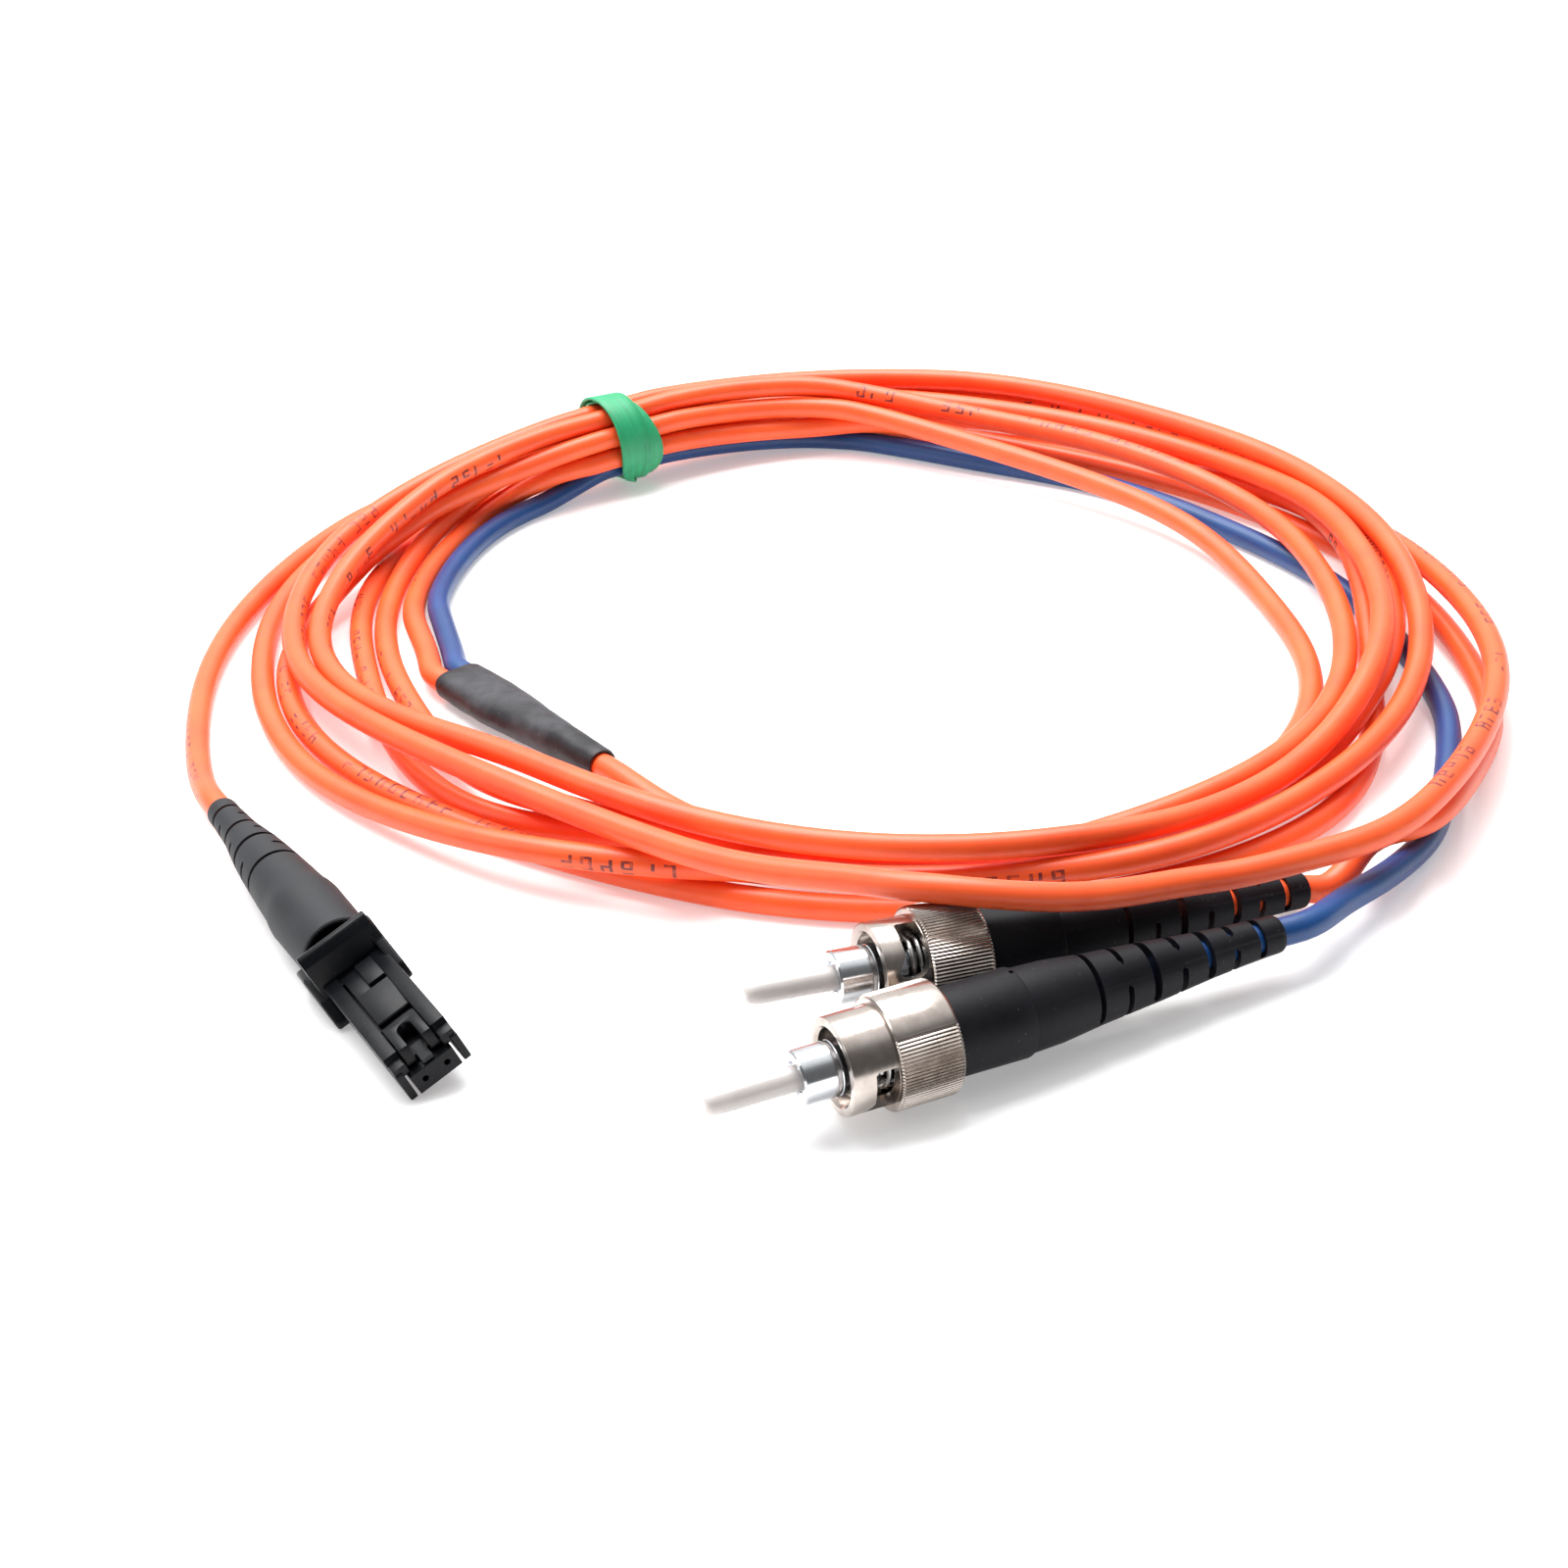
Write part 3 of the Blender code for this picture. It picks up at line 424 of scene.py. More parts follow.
def jacket(name, base, deep, print_ink=None, seed=0.0):
    """PVC jacket: faint mottling, fine lengthwise draw marks, and, with an ink, a
    row of generic digit-like strokes that drifts slowly round the cable. The UV
    map holds the distance along the cord (mm) and the angle from its top (rad)."""
    k = Mat(name, base, 0.36, Specular_IOR_Level=0.5, Subsurface_Weight=0.05, Subsurface_Scale=0.0006)
    k.s.inputs["Subsurface Radius"].default_value = (1.0, 0.35, 0.2)
    uv = k.node("ShaderNodeUVMap", uv_map="run")
    sep = k.node("ShaderNodeSeparateXYZ")
    k.link(uv.outputs["UV"], sep.inputs[0])
    s, th = sep.outputs[0], sep.outputs[1]
    blotch = k.noise(140.0, 3.0)
    col = k.mix(k.ramp(blotch, 0.35, 0.7, 0.0, 1.0), base, deep)
    comb = k.node("ShaderNodeCombineXYZ")
    k.link(k.math("MULTIPLY", s, 0.012), comb.inputs[0])
    k.link(k.math("MULTIPLY", k.math("SINE", th), 6.0), comb.inputs[1])
    k.link(k.math("MULTIPLY", k.math("COSINE", th), 6.0), comb.inputs[2])
    draw = k.noise(2.2, 4.0, 0.6, vec=comb.outputs[0])
    k.rough(k.ramp(draw, 0.3, 0.7, 0.33, 0.46))
    if print_ink is not None:
        pitch = 2.3
        q = k.math("DIVIDE", k.math("ADD", s, seed), pitch)
        cell, f = k.math("FLOOR", q), k.math("FRACT", q)

        def hashed(add, value=None):
            w = k.node("ShaderNodeTexWhiteNoise", noise_dimensions="1D")
            k.link(k.math("ADD", value if value is not None else cell, add), w.inputs["W"])
            return w.outputs["Value"]

        drift = k.math("MULTIPLY", k.math("SINE", k.math("MULTIPLY", s, 0.0093)), 1.5)
        drift = k.math("ADD", drift, k.math("MULTIPLY", k.math("SINE", k.math("MULTIPLY", s, 0.0217)), 0.6))
        v = k.math("MULTIPLY", k.math("SUBTRACT", th, drift), 1.35)

        def near(x, at, half):
            return k.math("COMPARE", x, at, half)

        def between(x, lo, hi):
            return k.math("MULTIPLY", k.math("GREATER_THAN", x, lo), k.math("LESS_THAN", x, hi))

        strokes = []
        for n, (horizontal, at, lo, hi, chance) in enumerate((
                (False, 0.20, 0.0, 0.78, 0.45), (False, 0.20, -0.78, 0.0, 0.45),
                (False, 0.62, 0.0, 0.78, 0.55), (False, 0.62, -0.78, 0.0, 0.55),
                (True, 0.70, 0.14, 0.68, 0.5), (True, 0.0, 0.14, 0.68, 0.5), (True, -0.70, 0.14, 0.68, 0.5))):
            if horizontal:
                body = k.math("MULTIPLY", near(v, at, 0.13), between(f, lo, hi))
            else:
                body = k.math("MULTIPLY", near(f, at, 0.085), between(v, lo, hi))
            strokes.append(k.math("MULTIPLY", body, k.math("GREATER_THAN", hashed(17.3 * n + 0.5), 1 - chance)))
        ink = strokes[0]
        for x in strokes[1:]:
            ink = k.math("MAXIMUM", ink, x)
        # groups of a few characters with gaps between, and long pauses
        word = k.math("FLOOR", k.math("DIVIDE", cell, 6.0))
        in_word = k.math("LESS_THAN", k.math("MODULO", cell, 6.0), k.math("ADD", k.math("MULTIPLY", hashed(3.0, word), 4.0), 2.0))
        pause = k.math("GREATER_THAN", hashed(9.0, k.math("FLOOR", k.math("DIVIDE", cell, 24.0))), 0.45)
        ink = k.math("MULTIPLY", k.math("MULTIPLY", ink, in_word), pause)
        fade = k.ramp(k.noise(900.0, 2.0), 0.35, 0.55, 0.45, 0.88)
        col = k.mix(k.math("MULTIPLY", ink, fade), col, print_ink)
    k.colour(col)
    k.bump(k.math("ADD", k.math("MULTIPLY", draw, 0.8), k.math("MULTIPLY", k.noise(2600.0, 2.0), 0.35)), 0.02, 0.6)
    return k.m


def moulded(name, base, light, rough, grain=1400.0, depth=0.015, scuff=0.25, spec=0.4):
    """Moulded plastic or elastomer: fine grain, paler dusty patches, small scuffs."""
    k = Mat(name, base, rough, Specular_IOR_Level=spec)
    big, fine = k.noise(160.0, 4.0, 0.6), k.noise(grain, 3.0, 0.6)
    specks = k.math("GREATER_THAN", k.noise(1900.0, 1.0, 0.5), 0.745)
    col = k.mix(k.ramp(big, 0.38, 0.72, 0.0, 1.0), base, light)
    col = k.mix(k.math("MULTIPLY", specks, scuff), col, tuple(min(1.0, 4.0 * c + 0.06) for c in light))
    k.colour(col)
    k.rough(k.ramp(big, 0.3, 0.7, rough - 0.06, rough + 0.08))
    k.bump(k.math("ADD", fine, k.math("MULTIPLY", big, 0.6)), depth, 0.7)
    return k.m


def metal(name, base, tint, rough, brushed=(1.0, 1.0, 1.0), pits=0.0):
    k = Mat(name, base, rough, 1.0)
    big = k.noise(220.0, 4.0, 0.6)
    line = k.noise(900.0, 4.0, 0.6, stretch=brushed)
    k.colour(k.mix(k.ramp(big, 0.35, 0.7, 0.0, 1.0), base, tint))
    k.rough(k.ramp(k.math("ADD", k.math("MULTIPLY", big, 0.5), k.math("MULTIPLY", line, 0.5)), 0.35, 0.65, rough * 0.7, rough * 1.5))
    k.bump(k.math("ADD", k.math("MULTIPLY", line, 0.5), k.math("MULTIPLY", k.noise(1500.0, 2.0), pits)), 0.012, 0.5)
    return k.m


ORANGE = jacket("orange_jacket_v", (0.97, 0.125, 0.026), (0.93, 0.098, 0.020), print_ink=(0.075, 0.010, 0.022))
ORANGE_LEG_M = jacket("orange_leg_jacket_v", (0.97, 0.125, 0.026), (0.93, 0.098, 0.020), print_ink=(0.075, 0.010, 0.022), seed=411.0)
BLUE_M = jacket("blue_jacket_v", (0.004, 0.060, 0.225), (0.003, 0.046, 0.18))
PLASTIC = moulded("black_plastic_v", (0.004, 0.0045, 0.006), (0.007, 0.0075, 0.0095), 0.32, 1800.0, 0.008, 0.10, 0.17)
BOOT_M = moulded("boot_v", (0.017, 0.018, 0.021), (0.027, 0.028, 0.033), 0.60, 1500.0, 0.014, 0.05, 0.3)
BLACK_BOOT = moulded("black_boot_v", (0.005, 0.005, 0.007), (0.010, 0.010, 0.013), 0.50, 1500.0, 0.014, 0.22, 0.15)
SHRINK_M = moulded("heat_shrink_v", (0.012, 0.012, 0.015), (0.075, 0.077, 0.088), 0.50, 620.0, 0.05, 0.10, 0.3)
NICKEL = metal("nickel_v", (0.58, 0.52, 0.48), (0.36, 0.31, 0.275), 0.19, (1.0, 1.0, 1.0), 0.6)
STEEL = metal("steel_v", (0.72, 0.74, 0.77), (0.60, 0.62, 0.65), 0.14, (1.0, 1.0, 0.1), 0.2)
DARK_STEEL = metal("spring_steel_v", (0.48, 0.47, 0.46), (0.36, 0.35, 0.34), 0.24, (1.0, 1.0, 1.0), 0.2)


def ceramic():
    k = Mat("ceramic_v", (0.86, 0.84, 0.80), 0.22, Subsurface_Weight=0.45, Subsurface_Scale=0.0016, Specular_IOR_Level=0.6)
    k.s.inputs["Subsurface Radius"].default_value = (1.0, 0.85, 0.7)
    n = k.noise(260.0, 3.0)
    k.colour(k.mix(k.ramp(n, 0.3, 0.7, 0.0, 1.0), (0.60, 0.565, 0.55), (0.53, 0.50, 0.485)))
    k.rough(k.ramp(k.noise(1200.0, 2.0), 0.3, 0.7, 0.16, 0.28))
    k.bump(k.noise(2400.0, 2.0), 0.004, 0.5)
    return k.m


CERAMIC = ceramic()


def band_rubber():
    k = Mat("band_rubber_v", (0.012, 0.33, 0.14), 0.5, Subsurface_Weight=0.2, Subsurface_Scale=0.0008)
    k.s.inputs["Subsurface Radius"].default_value = (0.3, 1.0, 0.5)
    uv = k.node("ShaderNodeUVMap", uv_map="run")
    sep = k.node("ShaderNodeSeparateXYZ")
    k.link(uv.outputs["UV"], sep.inputs[0])
    comb = k.node("ShaderNodeCombineXYZ")
    k.link(k.math("MULTIPLY", sep.outputs[0], 0.05), comb.inputs[0])
    k.link(k.math("MULTIPLY", sep.outputs[1], 1.6), comb.inputs[1])
    streak = k.noise(2.0, 4.0, 0.6, vec=comb.outputs[0])
    k.colour(k.mix(k.ramp(streak, 0.3, 0.7, 0.0, 1.0), (0.008, 0.27, 0.10), (0.02, 0.40, 0.18)))
    k.rough(k.ramp(streak, 0.3, 0.7, 0.42, 0.6))
    k.bump(k.math("ADD", streak, k.math("MULTIPLY", k.noise(1500.0, 2.0), 0.4)), 0.05, 0.8)
    return k.m


BAND = band_rubber()


# ------------------------------------------------------------------ meshing
def mesh(name, verts, faces, mat, matrix=None, sharp=35.0, uvs=None):
    """Vertices in mm. uvs is one pair for each face corner."""
    me = bpy.data.meshes.new(name)
    me.from_pydata([tuple(float(c) * MM for c in v) for v in verts], [], [tuple(int(i) for i in f) for f in faces])
    if uvs is not None:
        layer = me.uv_layers.new(name="run")
        layer.data.foreach_set("uv", np.asarray(uvs, dtype=float).ravel())
    me.materials.append(mat)
    me.polygons.foreach_set("use_smooth", [True] * len(me.polygons))
    me.set_sharp_from_angle(angle=math.radians(sharp))
    ob = bpy.data.objects.new(name, me)
    scene_col.objects.link(ob)
    if matrix is not None:
        ob.matrix_world = matrix
    return ob


def loft(rings, loop=False, caps=True):
    """Faces between equal rings of points; loop joins the last ring to the first."""
    rings = [np.asarray(q, float) for q in rings]
    n, k = len(rings[0]), len(rings)
    faces = []
    for i in range(k if loop else k - 1):
        a, b = i * n, ((i + 1) % k) * n
        for j in range(n):
            q = (j + 1) % n
            faces.append((a + j, a + q, b + q, b + j))
    if not loop and caps:
        faces.append(tuple(range(n - 1, -1, -1)))
        faces.append(tuple((k - 1) * n + j for j in range(n)))
    return np.vstack(rings), faces


def turned(name, profile, mat, matrix, steps=64, loop=False, shape=None, sharp=35.0):
    """Profile of (radius, z) down the outer side. shape(radius, z, angles) changes a ring's radii."""
    ang = np.linspace(0, math.tau, steps, endpoint=False)
    rings = []
    for rad, z in profile:
        rr = np.full(steps, float(rad)) if shape is None else shape(rad, z, ang)
        rings.append(np.stack([rr * np.cos(ang), rr * np.sin(ang), np.full(steps, float(z))], 1))
    v, f = loft(rings, loop)
    return mesh(name, v, [tuple(reversed(q)) for q in f], mat, matrix, sharp)


def recalc(ob):
    bm = bmesh.new()
    bm.from_mesh(ob.data)
    bmesh.ops.recalc_face_normals(bm, faces=bm.faces)
    bm.to_mesh(ob.data)
    bm.free()
    return ob


def applied(ob, sharp=35.0):
    """The object with its modifiers in its mesh."""
    dg = bpy.context.evaluated_depsgraph_get()
    me = bpy.data.meshes.new_from_object(ob.evaluated_get(dg))
    ob.modifiers.clear()
    ob.data = me
    me.polygons.foreach_set("use_smooth", [True] * len(me.polygons))
    me.set_sharp_from_angle(angle=math.radians(sharp))
    return ob


def cut_one(ob, cutters, sharp=35.0):
    """Cuts the solids out of ob, and removes them."""
    recalc(ob)
    for c in cutters:
        recalc(c)
        md = ob.modifiers.new("cut", "BOOLEAN")
        md.operation, md.solver, md.object = "DIFFERENCE", "EXACT", c
    bpy.context.view_layer.update()
    applied(ob, sharp)
    for c in cutters:
        bpy.data.objects.remove(c, do_unlink=True)
    return ob


def sector(name, matrix, spans, r0, r1):
    """A curved block between radii r0 and r1: spans is a list of (angle in degrees, z low, z high)."""
    v, f = [], []
    for a, z0, z1 in spans:
        a = math.radians(a)
        for rad, z in ((r0, z0), (r0, z1), (r1, z1), (r1, z0)):
            v.append((rad * math.cos(a), rad * math.sin(a), z))
    for i in range(len(spans) - 1):
        for j in range(4):
            q = (j + 1) % 4
            f.append((i * 4 + j, i * 4 + q, i * 4 + 4 + q, i * 4 + 4 + j))
    f += [(3, 2, 1, 0), tuple(len(v) - 4 + j for j in range(4))]
    return mesh(name, v, f, PLASTIC, matrix)


def arc_slot(name, matrix, z, width, mid, span, r0, r1):
    """A slot round the axis with rounded ends."""
    half, spans = span / 2, []
    for i in range(17):
        t = -1 + 2 * i / 16
        a = mid + half * t
        edge = (1 - abs(t)) * half                   # degrees from the end
        w = width / 2 * min(1.0, math.sqrt(max(0.0, 1 - (1 - min(1.0, edge / 6.0)) ** 2)) + 0.12)
        spans.append((a, z - w, z + w))
    return sector(name, matrix, spans, r0, r1)


def tube(name, line, radius, mat, sides=16, start=0.0):
    """A round cord along the points, with its distance and its angle from the top as UVs."""
    line = np.asarray(line, float)
    t = np.gradient(line, axis=0)
    t /= np.linalg.norm(t, axis=1)[:, None]
    upv = np.array([0, 0, 1.0]) - t * t[:, 2:3]
    upv /= np.linalg.norm(upv, axis=1)[:, None]
    side = np.cross(upv, t)
    ang = np.linspace(0, math.tau, sides, endpoint=False)
    rings = [line[i] + radius * (np.outer(np.cos(ang), upv[i]) + np.outer(np.sin(ang), side[i])) for i in range(len(line))]
    v, f = loft(rings)
    s = np.concatenate([[0], np.cumsum(np.linalg.norm(np.diff(line, axis=0), axis=1))]) + start
    uvs = []
    for i in range(len(line) - 1):
        for j in range(sides):
            a0 = ang[j] if ang[j] <= math.pi else ang[j] - math.tau
            a1 = a0 + math.tau / sides
            uvs += [(s[i], a0), (s[i], a1), (s[i + 1], a1), (s[i + 1], a0)]
    uvs += [(s[0], 3.0)] * sides + [(s[-1], 3.0)] * sides
    return mesh(name, v, f, mat, uvs=uvs, sharp=50.0)


def finer(line):
    """Twice as many points, on a Catmull-Rom curve through them."""
    p = np.asarray(line, float)
    q = np.vstack([2 * p[0] - p[1], p, 2 * p[-1] - p[-2]])
    mid = (-q[:-3] + 9 * q[1:-2] + 9 * q[2:-1] - q[3:]) / 16
    out = np.empty((2 * len(p) - 1, 3))
    out[0::2], out[1::2] = p, mid
    return out


def frame_of(at, x, y, z):
    m = Matrix([[x[i], y[i], z[i]] for i in range(3)]).to_4x4()
    m.translation = Vector(np.asarray(at) + C3) * MM
    return m


# -------------------------------------------------------------------- cords
px_, py_, pz_ = axes_of(PLUG_HEADING, PLUG_ROLL)
plug_at = np.array(PLUG_AT)
con = {k: (np.array(q), axes_of(h, 0.0, t)) for k, (q, h, t) in BAYONETS.items()}
sa, sb = np.array(SLEEVE_A), np.array(SLEEVE_B)
sd = (sb - sa) / np.linalg.norm(sb - sa)

main_line, orange_line, blue_line = (finer(c) for c in routes())


def run_in(line, direction, mm, at_start):
    """The cord goes on inside its boot or sleeve, where the slots show it."""
    steps = np.arange(1, int(mm / 1.5) + 1)[:, None] * 1.5
    if at_start:
        return np.vstack([(line[0] + direction * steps)[::-1], line])
    return np.vstack([line, line[-1] + direction * steps])


main_line = run_in(main_line, px_, 24.0, True)
main_line = run_in(main_line, -sd, 3.0, False)
orange_line = run_in(orange_line, sd, 3.0, True)
orange_line = run_in(orange_line, con["rear"][1][0], 27.0, False)
blue_line = run_in(blue_line, sd, 3.0, True)
blue_line = run_in(blue_line, con["front"][1][0], 27.0, False)


cords = {}
for name, line, mat, node in (("cable_main_jacket", main_line, ORANGE, "main_cable"),
                              ("leg_orange_jacket", orange_line, ORANGE_LEG_M, "orange_leg"),
                              ("leg_blue_jacket", blue_line, BLUE_M, "blue_leg")):
    ob = tube(name, line + C3, CABLE_D / 2, mat)
    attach(ob, "cord")
    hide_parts(node)
    cords[name] = (ob, line + C3)

plug_bits = ["plug_housing", "plug_ferrule", "plug_boot"]


# --------------------------------------------------------- bayonet connectors
def joined(name, obs):
    """Several objects' meshes in one object."""
    bm = bmesh.new()
    mats = []
    for o in obs:
        me = o.data.copy()
        me.transform(o.matrix_world)
        base = len(mats)
        mats += list(me.materials)
        n0 = len(bm.faces)
        bm.from_mesh(me)
        bm.faces.ensure_lookup_table()
        for f in bm.faces[n0:]:
            f.material_index = base + min(f.material_index, len(me.materials) - 1)
    me = bpy.data.meshes.new(name)
    bm.to_mesh(me)
    bm.free()
    for mt in mats:
        me.materials.append(mt)
    ob = bpy.data.objects.new(name, me)
    scene_col.objects.link(ob)
    for o in obs:
        bpy.data.objects.remove(o, do_unlink=True)
    return ob


def cut(ob, cutters, sharp=35.0):
    """The same, with the cutters joined, for cutters that don't touch each other."""
    for c in cutters:
        recalc(c)
    return cut_one(ob, [joined("cutters", cutters)], sharp)


def ride(ob, body, slot, *nodes):
    bpy.context.view_layer.update()
    ob.data.transform(ob.matrix_world)
    ob.matrix_world = Matrix.Identity(4)
    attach(ob, body)
    if nodes:
        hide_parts(*nodes)
    return ob


def bayonet_window(name, M, top):
    """A ramp through the nut's wall, square at its way in and round at its seat."""
    spans = [(0, -4.65, -2.6), (3, -4.65, -2.3), (25, -4.65, -2.25), (44, -4.65, -2.3), (50, -4.65, -2.05), (55, -4.62, -1.75),
             (60, -4.55, -1.55), (65, -4.4, -1.52), (69, -4.15, -1.65), (72, -3.8, -1.95), (74, -3.4, -2.4)]
    return sector(name, M, [(top - a, lo, hi) for a, lo, hi in spans], 3.4, 6.2)


def bayonet(tag, window, smooth_mid, smooth_half, stretch):
    at, (x, y, z) = con[tag]
    M = frame_of(at, y, z, x)
    n = "bayonet_%s_" % tag
    ride(turned(n + "ferrule_white", [(0.45, 13.1), (0.70, 13.03), (0.90, 12.86), (1.05, 12.6), (1.17, 12.22), (1.23, 11.8), (1.25, 11.3),
                                      (1.25, -1.0)], CERAMIC, M, 48), "cord", "ceramic", n + "ferrule")
    ride(turned(n + "barrel_turned", [(1.28, 3.5), (1.55, 3.5), (1.72, 3.87), (1.95, 3.95), (2.57, 3.95), (2.75, 3.77), (2.75, 0.6),
                                      (2.67, 0.5), (2.67, 0.1), (2.75, 0.0), (2.75, -2.0), (3.25, -2.0), (3.4, -2.15), (3.4, -2.85),
                                      (3.25, -3.0), (2.3, -3.0), (2.3, -21.0), (1.28, -21.0)], STEEL, M, 64, loop=True, sharp=28),
         "cord", "steel", n + "barrel")
    ride(turned(n + "washer_turned", [(2.72, -8.3), (3.37, -8.3), (3.45, -8.38), (3.45, -8.82), (3.37, -8.9), (2.72, -8.9)], STEEL, M, 48,
                loop=True), tag + "_washer", "steel", n + "washer")
    a = np.linspace(0, math.tau * 3, 109)
    coil = np.stack([3.05 * np.cos(a), 3.05 * np.sin(a), -3.65 - 0.85 * a / math.tau], 1)
    rings, t = [], np.gradient(coil, axis=0)
    t /= np.linalg.norm(t, axis=1)[:, None]
    out = coil * [1, 1, 0] / 3.05
    side = np.cross(t, out)
    for i in range(len(coil)):
        b = np.linspace(0, math.tau, 10, endpoint=False)
        rings.append(coil[i] + 0.27 * (np.outer(np.cos(b), out[i]) + np.outer(np.sin(b), side[i])))
    v, f = loft(rings)
    ride(recalc(mesh(n + "spring_coil", v, f, DARK_STEEL, M)), "cord", "steel", n + "spring")

    ridges, per = 100, 4

    def knurl(rad, zz, ang):
        rr = np.full(len(ang), float(rad))
        if rad >= 5.65:
            k = np.arange(len(ang)) % per
            depth = np.where(k == 0, 0.0, np.where(k == 2, 0.21, 0.06))
            off = np.abs((np.degrees(ang) - smooth_mid + 180) % 360 - 180)
            keep = np.clip((off - smooth_half) / 3.0, 0, 1)
            rr -= depth * keep + 0.05 * (1 - keep)
        return rr

    nut = turned(n + "nut_knurled", [(3.8, -0.3), (4.05, 0.0), (4.68, 0.0), (4.84, -0.06), (4.9, -0.2), (4.9, -4.4), (4.95, -4.6), (4.95, -4.7),
                                     (5.45, -4.7), (5.7, -4.85), (5.75, -5.0), (5.75, -8.0), (5.75, -10.85), (5.7, -11.05), (5.45, -11.3), (2.9, -11.3),
                                     (2.7, -11.1), (2.7, -9.2), (3.8, -9.2)], NICKEL, M, ridges * per, loop=True, shape=knurl, sharp=24)
    cut(nut, [bayonet_window("w0", M, window), bayonet_window("w1", M, window + 180)], sharp=24)
    ride(nut, tag + "_nut", "nickel", n + "nut")

    def seam(rad, zz, ang):
        rr = np.full(len(ang), float(rad))
        if zz < -20.0 and rad > 1.7:
            for c in (math.radians(33), math.radians(213)):
                rr += 0.045 * (np.abs((ang - c + math.pi) % math.tau - math.pi) < 0.034)
        return rr

    outer = [(2.72, -11.7), (4.3, -11.7), (4.42, -11.8), (4.45, -11.95), (4.5, -15.8), (4.55, -19.35), (4.5, -19.6), (4.3, -19.7), (4.24, -19.85),
             (4.28, -20.1), (4.15, -23.4), (3.92, -25.5), (3.65, -27.8), (3.35, -31.3), (3.05, -34.9), (2.73, -38.0), (2.4, -41.3),
             (2.17, -44.5), (2.0, -47.6), (1.97, -49.0), (1.93, -49.3), (1.82, -49.5), (1.62, -49.5), (1.6, -49.3), (1.6, -22.0), (2.72, -22.0)]
    boot = turned(n + "boot_slotted", outer, BLACK_BOOT, M, 96, loop=True, shape=seam, sharp=30)
    slots = []
    for z0, w in ((-27.3, 0.6), (-33.8, 0.85), (-40.4, 0.9), (-46.7, 0.75)):
        slots += [arc_slot("s", M, z0, w, mid, 158, 1.2, 5.5) for mid in (45, 225)]
    for z0, w in ((-30.6, 0.6), (-37.1, 0.7), (-43.5, 0.7)):
        slots += [arc_slot("s", M, z0, w, mid, 148, 1.2, 5.5) for mid in (-45, 135)]
    notch = [sector("n", M, [(a0, -19.75, -19.1), (a0 + 4, -19.75, -19.1), (a0 + 9, -19.75, -19.1)], 4.3, 4.9) for a0 in (88, 268)]
    cut(boot, slots + notch, sharp=30)
    ride(boot, "cord", "black_boot", n + "boot")


bayonet("front", 16.0, 74.0, 30.0, 1.0)
bayonet("rear", 88.0, 200.0, 0.0, 1.0)


# -------------------------------------------------------------- duplex plug
PM = frame_of(plug_at, px_, py_, pz_)


def block(lo, hi, bevel=0.15, warp=None, mat=None, segments=2):
    """A box in the plug's frame, mm, with rounded edges; warp moves its corners."""
    bm = bmesh.new()
    bmesh.ops.create_cube(bm, size=1.0)
    for v in bm.verts:
        c = [lo[i] if v.co[i] < 0 else hi[i] for i in range(3)]
        if warp is not None:
            c = warp(*c)
        v.co = Vector(c) * MM
    bmesh.ops.recalc_face_normals(bm, faces=bm.faces)
    if bevel:
        bmesh.ops.bevel(bm, geom=bm.edges[:], offset=bevel * MM, segments=segments, profile=0.6, affect="EDGES", clamp_overlap=True)
    return solid(bm, mat or PLASTIC)


def solid(bm, mat):
    me = bpy.data.meshes.new("b")
    bm.to_mesh(me)
    bm.free()
    me.materials.append(mat)
    me.polygons.foreach_set("use_smooth", [True] * len(me.polygons))
    me.set_sharp_from_angle(angle=math.radians(40))
    ob = bpy.data.objects.new("b", me)
    scene_col.objects.link(ob)
    ob.matrix_world = PM
    return ob


def prism(outline, y0, y1, bevel=0.12, segments=2, pinch=None):
    """An outline of (x, z) drawn out along y in the plug's frame, mm."""
    bm = bmesh.new()
    a = [bm.verts.new(Vector((q[0], y0, q[1])) * MM) for q in outline]
    b = [bm.verts.new(Vector((q[0], y1, q[1])) * MM) for q in outline]
    bm.faces.new(a)
    bm.faces.new(b[::-1])
    for i in range(len(a)):
        j = (i + 1) % len(a)
        bm.faces.new((a[j], a[i], b[i], b[j]))
    bmesh.ops.recalc_face_normals(bm, faces=bm.faces)
    if bevel:
        edges = [e for e in bm.edges if len(e.link_faces) == 2 and e.calc_face_angle() > 0.45]
        bmesh.ops.bevel(bm, geom=edges, offset=bevel * MM, segments=segments, profile=0.6, affect="EDGES", clamp_overlap=True)
    return solid(bm, PLASTIC)


def rounded_outline(points, radii, steps=5):
    """A closed outline whose corners are rounded."""
    out, n = [], len(points)
    for i in range(n):
        p0, p1, p2 = (np.array(points[(i + k) % n], float) for k in (-1, 0, 1))
        rad = radii[i]
        if rad <= 0:
            out.append(tuple(p1))
            continue
        u, v = (p0 - p1) / np.linalg.norm(p0 - p1), (p2 - p1) / np.linalg.norm(p2 - p1)
        cosang = float(np.clip(u @ v, -1, 1))
        d = min(rad / math.tan(math.acos(cosang) / 2), 0.45 * np.linalg.norm(p0 - p1), 0.45 * np.linalg.norm(p2 - p1))
        a, b = p1 + u * d, p1 + v * d
        for k in range(steps + 1):
            t = k / steps
            out.append(tuple((1 - t) ** 2 * a + 2 * t * (1 - t) * p1 + t * t * b))
    return out


parts_ = []
W = PLUG_W / 2
